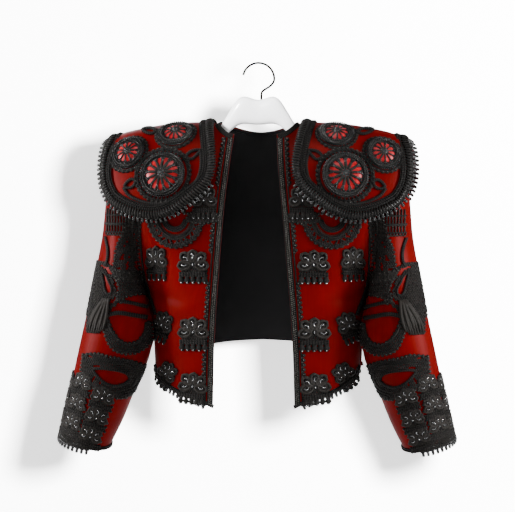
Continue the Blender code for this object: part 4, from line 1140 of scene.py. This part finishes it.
crescent = Trim()
solid_arc = arc_line(0.0190, 186, 356)
band = Trim()
ribbon(band, solid_arc.length, -0.0046, 0.0046, 0.0016, "cord")
for across in (-0.0032, 0.0, 0.0032):
    wrapped(band, solid_arc.length, across, 0.0032, 0.0028, 0.0034, depth=0.08, sides=6, per=3, lift=0.0003)
crescent.join(band.carried(solid_arc.carry))
lace_arc = arc_line(0.0375, 188, 358, high=1.05)
band = Trim()
openwork(band, lace_arc.length, 0.0235, outside=(True, False))
zigzag(band, lace_arc.length, 0.0090, 0.0118, 0.0050, 0.0008, 0.0010)
crescent.join(band.carried(lace_arc.carry))
for shift in (-0.0125, -0.0045, 0.0040, 0.0120):
    tooth = Trim()
    tassel(tooth, 0.0, 0.0, 0.0066, 0.0130, 0.0018)
    crescent.join(tooth.carried(placed(CRESCENT_X + shift, CRESCENT_Z + 0.0170 + abs(shift) * 0.25,
                                       shift * 1400)))
# A corded lace runs from under the epaulette to the galloon
crochet(crescent, [(0.058, -0.262), (0.058, -0.252), (0.110, -0.250), (0.112, -0.262), (0.100, -0.266),
                   (0.080, -0.267)], edge=0.0070)
sew_on("crescent_lace", crescent.carried(front_cloth.seen()), ["crescent"])


# Hem: a wound cord and a bead row along the edge, and bead drops hanging past it.
def drops(trim, start, end, pitch, long=0.0085):
    """Bead drops along a line, hanging on its right."""
    count = int((end - start) / pitch)
    for i in range(count):
        a = start + (i + 0.5) * (end - start) / count
        trim.beads([(a - 0.0024, 0.0, 0.0012), (a + 0.0024, 0.0, 0.0012)], 0.0022)
        trim.beads([(a, -long * 0.22, 0.0012)], 0.0031)
        trim.beads([(a, -long * 0.52, 0.0010)], 0.0031)
        trim.units(BEAD, [(a, -long * 0.78, 0.0008)], (0.0029, 0.0026, 0.0024), "bead")


def hem_work(length, closed=False):
    made = Trim()
    ribbon(made, length, 0.0004, 0.0066, 0.0010, "cord", closed)
    wrapped(made, length, 0.0022, 0.0040, 0.0034, 0.0036, closed=closed)
    bead_row(made, length, 0.0056, 0.0016, 0.0027, 0.0012, closed=closed)
    return made


front_hem = Line(front_grid[:, 0], normals_of(front_grid)[:, 0])
work = hem_work(front_hem.length)
drops(work, 0.012, front_hem.length, 0.0086)
sew_on("hem_cord", work.carried(front_hem.carry), ["hem_braid"])
turned_back = back_grid[::-1]
back_hem = Line(turned_back[:, 0], normals_of(turned_back)[:, 0])
work = hem_work(back_hem.length)
sew_on("hem_cord_back", work.carried(back_hem.carry), ["hem_braid_back"], both=False)

# Cuffs: the same cord round the edge, drops on the outer part, and rows of small flowers.
cuff_ring = sleeve_grid[::-1, -1]
cuff_line = Line(cuff_ring, normals_of(sleeve_grid, True)[::-1, -2], closed=True)
work = hem_work(cuff_line.length, True)
reach = cuff_line.length
drops(work, reach * (1 - 112 / 360), reach * (1 + 100 / 360), 0.0080)
crochet(work, [(reach * (1 - 118 / 360), 0.004), (reach * (1 + 70 / 360), 0.004),
               (reach * (1 + 70 / 360), 0.027), (reach * (1 - 118 / 360), 0.027)], pitch=0.0042)
sew_on("cuff_cord", work.carried(cuff_line.carry), ["cuff_braid"])

CUFF_COLUMNS = [(98, 0.0), (51, -0.012), (4, -0.004), (-42, 0.0)]
CUFF_ROWS = (0.021, 0.0545, 0.088)
sleeve_long = float(np.linalg.norm(sleeve_point(1, 0) - sleeve_point(0.8, 0)) / 0.2)
cuff_flowers = Trim()
for column, (degrees, shift) in enumerate(CUFF_COLUMNS):
    for up in CUFF_ROWS:
        along = 1 - (up - shift) / sleeve_long
        centre = sleeve_point(along, degrees)
        way = sleeve_point(along - 0.02, degrees) - centre
        bloom = Trim()
        flower(bloom, 0.0200, ((90, 0.9), (40, 1.0), (-10, 0.95), (140, 1.0), (190, 0.95)), (0.0, 0.003))
        # The lace between the flowers leaves some slots of satin
        slots = [oval(-0.019 + 0.0012 * k, 0.004 - 0.009 * k, 0.0020, 0.0032) for k in range(2)]
        crochet(bloom, [(-0.0195, -0.0165), (0.0195, -0.0165), (0.0195, 0.013), (0.010, 0.0185),
                        (-0.010, 0.0185), (-0.0195, 0.013)], slots if column < 2 else (), pitch=0.0046)
        bar = Trim()
        wrapped(bar, 0.038, 0.0, 0.0034, 0.0038, 0.0040, depth=0.22, sides=6)
        wrapped(bar, 0.038, -0.0040, 0.0026, 0.0034, 0.0034, depth=0.12, sides=6)
        bead_row(bar, 0.038, -0.0068, 0.0016, 0.0060, 0.0015)
        bloom.join(bar.carried(lambda p: p + (-0.019, -0.0095, 0)))
        cuff_flowers.join(bloom.carried(sleeve_cloth.around(centre, way)))
sew_on("cuff_flowers", cuff_flowers, ["cuff_lace"])


# Sleeve work: openwork beside the armhole, a comb at the shoulder, corded loops and leaves.
def gimp(table, offsets, closed, pitch=0.0036, count=70):
    """Wound cords side by side along a middle line whose table has x, z and width."""
    table = np.asarray(table, float)
    if closed:
        ring = np.concatenate([table[-2:], table, table[:2]])
        lengths = np.linalg.norm(np.diff(ring[:, :2], axis=0), axis=1)
        start, end = lengths[:2].sum() / lengths.sum(), 1 - lengths[-1] / lengths.sum()
        middle = line(ring)(np.linspace(start, end, count, endpoint=False))
    else:
        middle = line(table)(np.linspace(0, 1, count))
    track = Line(middle[:, :2], closed=closed)
    made = Trim()
    widths = middle[:, 2]

    def widen(p):
        share = p[:, 0] / track.length * (count if closed else count - 1)
        wide = np.interp(share, np.arange(count), widths)
        return np.column_stack([p[:, 0], p[:, 1] * wide, p[:, 2]])
    for offset, thick in offsets:
        cord = Trim()
        wrapped(cord, track.length, offset, thick, 0.0036, pitch, closed=closed, depth=0.26, sides=6, per=3)
        made.join(cord.carried(widen, track.carry))
    return made, track


on_sleeve = sleeve_cloth.seen()


def corded(trim, points, thick, closed=False):
    """Wound cord along a smooth line through points of the front view."""
    work, _ = gimp([(x, z, 1.0) for x, z in points], ((0.0, thick),), closed)
    trim.join(work)


BAND_EDGE = [
    (0.192, -0.261), (0.197, -0.295), (0.200, -0.326), (0.196, -0.355), (0.196, -0.367),
    (0.240, -0.360), (0.239, -0.343), (0.236, -0.329), (0.235, -0.316), (0.230, -0.300),
    (0.223, -0.285), (0.218, -0.261)]
# Slots of the openwork: x, z, half width, half height
BAND_SLOTS = [(0.2065, -0.287, 0.0022, 0.0026), (0.2160, -0.299, 0.0017, 0.0032),
              (0.2200, -0.306, 0.0020, 0.0028), (0.2228, -0.3215, 0.0032, 0.0020),
              (0.2245, -0.3275, 0.0030, 0.0022), (0.2125, -0.3260, 0.0018, 0.0028),
              (0.2155, -0.3400, 0.0020, 0.0065), (0.2300, -0.3450, 0.0024, 0.0024),
              (0.2010, -0.3400, 0.0030, 0.0115), (0.1990, -0.2990, 0.0020, 0.0080)]
band = Trim()
crochet(band, BAND_EDGE, [oval(*slot) for slot in BAND_SLOTS], edge=0.0070)
corded(band, [(0.2055, -0.262), (0.2085, -0.300), (0.2085, -0.335), (0.2060, -0.362)], 0.0042)
UNDERARM = [
    (0.241, -0.346), (0.224, -0.350), (0.196, -0.356), (0.189, -0.368), (0.177, -0.380),
    (0.178, -0.390), (0.201, -0.388), (0.218, -0.392), (0.226, -0.402), (0.233, -0.397),
    (0.228, -0.377), (0.235, -0.358)]
crochet(band, UNDERARM, edge=0.0070)
sew_on("sleeve_openwork", band.carried(on_sleeve), ["sleeve_band"])

loop = Trim()
LOOP_LACE = [
    (0.255, -0.424), (0.255, -0.441), (0.252, -0.457), (0.245, -0.474), (0.235, -0.484),
    (0.219, -0.489), (0.202, -0.488), (0.189, -0.481), (0.178, -0.469), (0.177, -0.450),
    (0.182, -0.435), (0.186, -0.453), (0.199, -0.469), (0.216, -0.472), (0.230, -0.464),
    (0.241, -0.447), (0.249, -0.426)]
crochet(loop, LOOP_LACE, edge=0.0070)
corded(loop, [(0.2515, -0.4240), (0.2300, -0.4195), (0.2050, -0.4235), (0.1850, -0.4285)], 0.0072)
corded(loop, [(0.2300, -0.3990), (0.2120, -0.4020), (0.1950, -0.4070), (0.1850, -0.4110)], 0.0062)
corded(loop, [(0.2480, -0.4280), (0.2440, -0.4430), (0.2310, -0.4620), (0.2170, -0.4720), (0.1990, -0.4690),
              (0.1890, -0.4540), (0.1860, -0.4360)], 0.0040)
sew_on("sleeve_loop_cords", loop.carried(on_sleeve), ["sleeve_loop"])

leaf = Trim()
LEAF_EDGE = [
    (0.291, -0.492), (0.279, -0.490), (0.264, -0.489), (0.245, -0.494), (0.224, -0.498),
    (0.204, -0.503), (0.190, -0.509), (0.185, -0.523), (0.190, -0.540), (0.204, -0.554),
    (0.221, -0.564), (0.238, -0.564), (0.253, -0.555), (0.269, -0.549), (0.286, -0.538),
    (0.296, -0.526)]
LEAF_SLOT = [
    (0.272, -0.516), (0.262, -0.514), (0.245, -0.515), (0.228, -0.518), (0.216, -0.524),
    (0.213, -0.531), (0.221, -0.539), (0.238, -0.543), (0.252, -0.538), (0.264, -0.528)]
leaf_slots = [LEAF_SLOT, oval(0.2790, -0.494, 0.0030, 0.0022), oval(0.2650, -0.498, 0.0045, 0.0022),
              oval(0.2670, -0.510, 0.0060, 0.0010), oval(0.2680, -0.5270, 0.0120, 0.0009, 129),
              oval(0.2620, -0.5390, 0.0060, 0.0009, 129)]
crochet(leaf, LEAF_EDGE, leaf_slots, edge=0.0070)
corded(leaf, LEAF_SLOT, 0.0044, True)
for inset, thick in ((0.30, 0.0030), (0.58, 0.0030), (0.84, 0.0030)):
    run = [(0.268, -0.503), (0.240, -0.507), (0.214, -0.513), (0.2085, -0.529), (0.216, -0.541),
           (0.232, -0.546)]
    far = [(0.276, -0.491), (0.240, -0.497), (0.202, -0.502), (0.190, -0.527), (0.204, -0.553),
           (0.228, -0.563)]
    corded(leaf, [(a + (c - a) * inset, b + (d - b) * inset) for (a, b), (c, d) in zip(run, far)], thick)
sew_on("sleeve_leaf_cords", leaf.carried(on_sleeve), ["sleeve_leaf"])

almond = Trim()
OUTER_MASS = [
    (0.279, -0.333), (0.264, -0.334), (0.252, -0.334), (0.240, -0.343), (0.231, -0.356),
    (0.225, -0.380), (0.227, -0.399), (0.238, -0.411), (0.250, -0.423), (0.252, -0.435),
    (0.257, -0.448), (0.262, -0.455), (0.274, -0.456), (0.286, -0.453), (0.289, -0.414)]
ALMOND_SLOT = [
    (0.257, -0.351), (0.252, -0.355), (0.246, -0.367), (0.241, -0.379), (0.242, -0.386),
    (0.248, -0.388), (0.252, -0.382), (0.255, -0.370)]
ALMOND_RING = [
    (0.263, -0.342), (0.257, -0.339), (0.248, -0.344), (0.239, -0.355), (0.233, -0.367),
    (0.228, -0.380), (0.230, -0.392), (0.238, -0.402), (0.248, -0.407), (0.249, -0.404),
    (0.240, -0.397), (0.234, -0.390), (0.233, -0.380), (0.237, -0.369), (0.242, -0.360),
    (0.250, -0.349), (0.257, -0.344)]
crochet(almond, OUTER_MASS, [ALMOND_SLOT, ALMOND_RING], pitch=0.0036)
corded(almond, ALMOND_SLOT, 0.0040, True)
sew_on("sleeve_almond_cords", almond.carried(on_sleeve), ["sleeve_almond"])

comb = Trim()
for i in range(9):
    x = 0.2135 + i * 0.0047
    top = np.array([(x, -0.244, 0.0013), (x + 0.0004, -0.254, 0.0016), (x + 0.0006, -0.267, 0.0013)])
    comb.tube(top, 0.0013, "cord", 5)
    comb.tube(top - (0.0, 0.0160, 0.0), 0.0012, "cord", 5)
    arch = math.pi * np.arange(7) / 6
    comb.tube(np.column_stack([x + 0.0024 * np.cos(arch), -0.2840 - 0.0050 * np.sin(arch),
                               0.0012 + 0 * arch]),
              0.0010, "cord", 5)
for z, thick in ((-0.2700, 0.0048), (-0.2550, 0.0026), (-0.2835, 0.0026)):
    rail = Trim()
    wrapped(rail, 0.044, 0.0, thick, 0.0030, 0.0030, depth=0.12, sides=6, per=3)
    comb.join(rail.carried(lambda p, z=z: p + (0.210, z, 0)))
corded(comb, [(0.2545, -0.292), (0.2505, -0.305), (0.2485, -0.320), (0.2505, -0.334), (0.2540, -0.342)],
       0.0048)
# Gathered threads below the almond, spreading as a feather
for i, share in enumerate(np.linspace(-1, 1, 8)):
    s = np.linspace(0, 1, 8)
    x = 0.2500 + 0.020 * s + share * (0.0040 + 0.0100 * np.sin(s * math.pi * 0.62))
    z = -0.396 - 0.060 * s * (1 - 0.10 * abs(share))
    comb.tube(np.column_stack([x, z, 0.0022 + (0.0022 + 0.0010 * (-1) ** i) * np.sin(s * math.pi)]),
              0.0026 * (1.1 - 0.7 * s ** 3), "cord", 6)
sew_on("sleeve_comb", comb.carried(on_sleeve), ["sleeve_almond"])
armhole = Line(sleeve_grid[::-1, 1], normals_of(sleeve_grid, True)[::-1, 1], closed=True)
piping = Trim()
wrapped(piping, armhole.length, 0.0, 0.0036, 0.0036, 0.0034, closed=True, depth=0.10, lift=-0.0012)
sew_on("armhole_cord", piping.carried(armhole.carry), ["sleeve_almond"])


# Epaulette edge: a thick wound cord, a plaited row inside it and bead drops on the free edges.
pad_normals = normals_of(pad_grid)
rim = [(pad_grid[-1, 1:-1], pad_normals[-1, 1:-1]), (pad_grid[::-1, -1], pad_normals[::-1, -1]),
       (pad_grid[0, -2:0:-1], pad_normals[0, -2:0:-1]), (pad_grid[:, 0], pad_normals[:, 0])]
rim_points = np.concatenate([points for points, _ in rim])
rim_out = np.concatenate([normals for _, normals in rim])
coarse = Line(rim_points, rim_out, closed=True)
stops = np.linspace(0, coarse.length, 260, endpoint=False)
rim_points, rim_out = coarse.read(coarse.points, stops), coarse.read(coarse.out, stops)
for _ in range(4):
    rim_points = rim_points * 0.5 + (np.roll(rim_points, 1, 0) + np.roll(rim_points, -1, 0)) * 0.25
    rim_out = rim_out * 0.5 + (np.roll(rim_out, 1, 0) + np.roll(rim_out, -1, 0)) * 0.25
rim_line = Line(rim_points, rim_out, closed=True)
edging = Trim()
wrapped(edging, rim_line.length, 0.0058, 0.0130, 0.0062, 0.0052, closed=True, depth=0.32, per=4, sides=8)
wrapped(edging, rim_line.length, 0.0128, 0.0022, 0.0034, 0.0036, closed=True, depth=0.2, sides=5, per=3)
for across, slant in ((0.0150, 1.3), (0.0191, -1.3)):
    wrapped(edging, rim_line.length, across, 0.0046, 0.0042, 0.0048, closed=True, slant=slant, depth=0.34,
            per=4, sides=6)
wrapped(edging, rim_line.length, 0.0222, 0.0020, 0.0024, 0.0036, closed=True, depth=0.2, sides=5, per=3)
neck_length = float(np.linalg.norm(np.diff(pad_grid[-1], axis=0), axis=1).sum())
drops(edging, neck_length + 0.006, rim_line.length - 0.006, 0.0078)
sew_on("epaulette_edging", edging.carried(rim_line.carry), ["epaulette_border"])


# Rosettes: a padded satin dome with forked rays of beads, a thick beaded rim, and round it a
# flat ring of guipure with a scalloped edge.
def rosette(dome, rise, ring, rays):
    made = Trim()
    bpy.ops.object.select_all(action="DESELECT")
    bpy.ops.mesh.primitive_uv_sphere_add(segments=32, ring_count=16, radius=1)
    cap = bpy.context.object
    cap.select_set(True)
    bpy.ops.object.mode_set(mode="EDIT")
    bpy.ops.mesh.select_all(action="SELECT")
    bpy.ops.mesh.bisect(plane_co=(0, 0, 0.02), plane_no=(0, 0, 1), clear_inner=True, use_fill=True)
    bpy.ops.mesh.select_all(action="DESELECT")
    bpy.ops.object.mode_set(mode="OBJECT")
    points, faces = taken(cap)

    def height(radius):
        return 0.0018 + rise * np.sqrt(np.clip(1 - (radius / (dome * 1.03)) ** 2, 0, 1))
    made.add(points * (dome, dome, rise) + (0, 0, 0.0016), faces, "dome")
    for i in range(rays):
        way = 2 * math.pi * (i + 0.2) / rays
        stem = np.arange(dome * 0.24, dome * 0.70, 0.0021)
        fork = np.arange(dome * 0.70, dome * 1.0, 0.0021)
        spread = (fork - dome * 0.66) / dome * 1.35 * math.pi / rays
        for radii, turns in ((stem, way + 0 * stem), (fork, way + spread), (fork, way - spread)):
            made.beads(np.column_stack([radii * np.cos(turns), radii * np.sin(turns),
                                        height(radii) + 0.0006]),
                       0.058 * dome)
        made.tube(np.column_stack([stem * math.cos(way), stem * math.sin(way), height(stem) - 0.0003]),
                  0.095 * dome, "cord", 5)
        for lean in (spread, -spread):
            made.tube(np.column_stack([fork * np.cos(way + lean), fork * np.sin(way + lean),
                                       height(fork) - 0.0004]), 0.066 * dome, "cord", 5)
    count = 7
    turns = 2 * math.pi * np.arange(count) / count
    made.beads(np.column_stack([dome * 0.15 * np.cos(turns), dome * 0.15 * np.sin(turns),
                                np.full(count, height(dome * 0.15) + 0.0006)]), 0.0026)
    made.beads([(0, 0, height(0.0) + 0.0018)], 0.0031)
    # Beaded rim: rows over a padded ring
    rim_radius, rim_wide = dome + 0.0034, 0.0052
    circle = np.linspace(0, 2 * math.pi, 56, endpoint=False)
    made.tube(np.column_stack([rim_radius * np.cos(circle), rim_radius * np.sin(circle),
                               np.full(56, 0.0024)]), rim_wide * 0.86, "cord", 8, True)
    for row, lean in enumerate((12, 58, 104, 150)):
        lean = math.radians(lean)
        radius = rim_radius + rim_wide * math.cos(lean)
        number = int(2 * math.pi * radius / 0.0035)
        turns = 2 * math.pi * (np.arange(number) + 0.5 * (row % 2)) / number
        made.beads(np.column_stack([radius * np.cos(turns), radius * np.sin(turns),
                                    np.full(number, 0.0024 + rim_wide * math.sin(lean))]), 0.0017)
    guipure = Trim()
    low, high = rim_radius + rim_wide + 0.0012, ring
    middle = (low + high) / 2
    circle_line = Line(np.column_stack([middle * np.cos(circle), middle * np.sin(circle)]), closed=True)
    length, half = circle_line.length, (high - low) / 2
    # The circle runs anticlockwise, so its left is the inside
    count = int(length / 0.0070)
    slots = [oval((i + 0.5) * length / count, half * 0.50, 0.0024, 0.0014) for i in range(count)]
    crochet(guipure, [(0, -half * 0.8), (length, -half * 0.8), (length, half), (0, half)], slots,
            pitch=0.0036)
    wrapped(guipure, length, half * 0.05, 0.0026, 0.0034, 0.0028, closed=True, depth=0.16, sides=6, per=3)
    count = int(length / 0.0074)
    bumps = np.column_stack([(np.arange(count) + 0.5) * length / count, np.full(count, -half * 0.84),
                             np.full(count, 0.0010)])
    guipure.units(BEAD, bumps, (0.0040, 0.0037, 0.0022), "cord")
    guipure.beads(bumps + (0, 0, 0.0021), 0.0008, "glint")
    return made.join(guipure.carried(circle_line.carry))


# Rosettes: name, x, z, front or back, radius of the dome, its rise, radius of the ring, rays
ROSETTES = [("big", 0.1545, -0.1850, -1, 0.0300, 0.0085, 0.0485, 13),
            ("top", 0.1365, -0.1170, -1, 0.0205, 0.0065, 0.0345, 11),
            ("outer", 0.2160, -0.1500, -1, 0.0205, 0.0065, 0.0345, 11),
            ("back", 0.1545, -0.1850, 1, 0.0300, 0.0085, 0.0485, 13)]
for name, x, z, lobe, dome, rise, ring, rays in ROSETTES:
    centre = (x, lobe * float(pad_depth(np.array(x), np.array(z))), z)
    work = rosette(dome, rise, ring, rays)
    sew_on("rosette_work_" + name, work.carried(pad_cloth.around(centre)), ["rosette_" + name])


# Line work on the epaulette: a long crescent round the big rosette and small leaves.
PAD_LINES = [([(0.2213, -0.2085), (0.2132, -0.2195), (0.2002, -0.2270), (0.1823, -0.2325), (0.1644, -0.2345),
               (0.1481, -0.2335), (0.1319, -0.2275), (0.1140, -0.2170), (0.0993, -0.2015), (0.0910, -0.1855),
               (0.0885, -0.1690), (0.0895, -0.1560), (0.0920, -0.1470)], False, 0.0056),
             ([(0.1150, -0.1560), (0.1090, -0.1485), (0.1010, -0.1455), (0.0915, -0.1455), (0.0985, -0.1545),
               (0.1060, -0.1600)], True, 0.0052),
             ([(0.2195, -0.2065), (0.2150, -0.1985), (0.2070, -0.1940), (0.2010, -0.1960), (0.2020, -0.2030),
               (0.2090, -0.2085)], True, 0.0052),
             ([(0.1960, -0.1120), (0.1890, -0.1165), (0.1770, -0.1180), (0.1700, -0.1145), (0.1770, -0.1105),
               (0.1870, -0.1095)], True, 0.0050)]
on_pad = pad_cloth.seen()
lines = Trim()
for table, closed, thick in PAD_LINES:
    work, _ = gimp([(x, z, 1.0) for x, z in table], ((0.0, thick),), closed)
    lines.join(work)
sew_on("epaulette_lines", lines.carried(on_pad), ["epaulette_border"])


# Each side light is kept off the far sleeve, as the body would shade that one's inner side.
for lamp_name, far in (("left_side", "_left"), ("right_side", "_right")):
    lit = bpy.data.collections.new("lit_by_" + lamp_name)
    for piece in bpy.context.scene.objects:
        on_arm = "sleeve" in piece.name or "cuff" in piece.name
        if piece.type == "MESH" and not (on_arm and piece.name.endswith(far)):
            lit.objects.link(piece)
    bpy.data.objects[lamp_name].light_linking.receiver_collection = lit
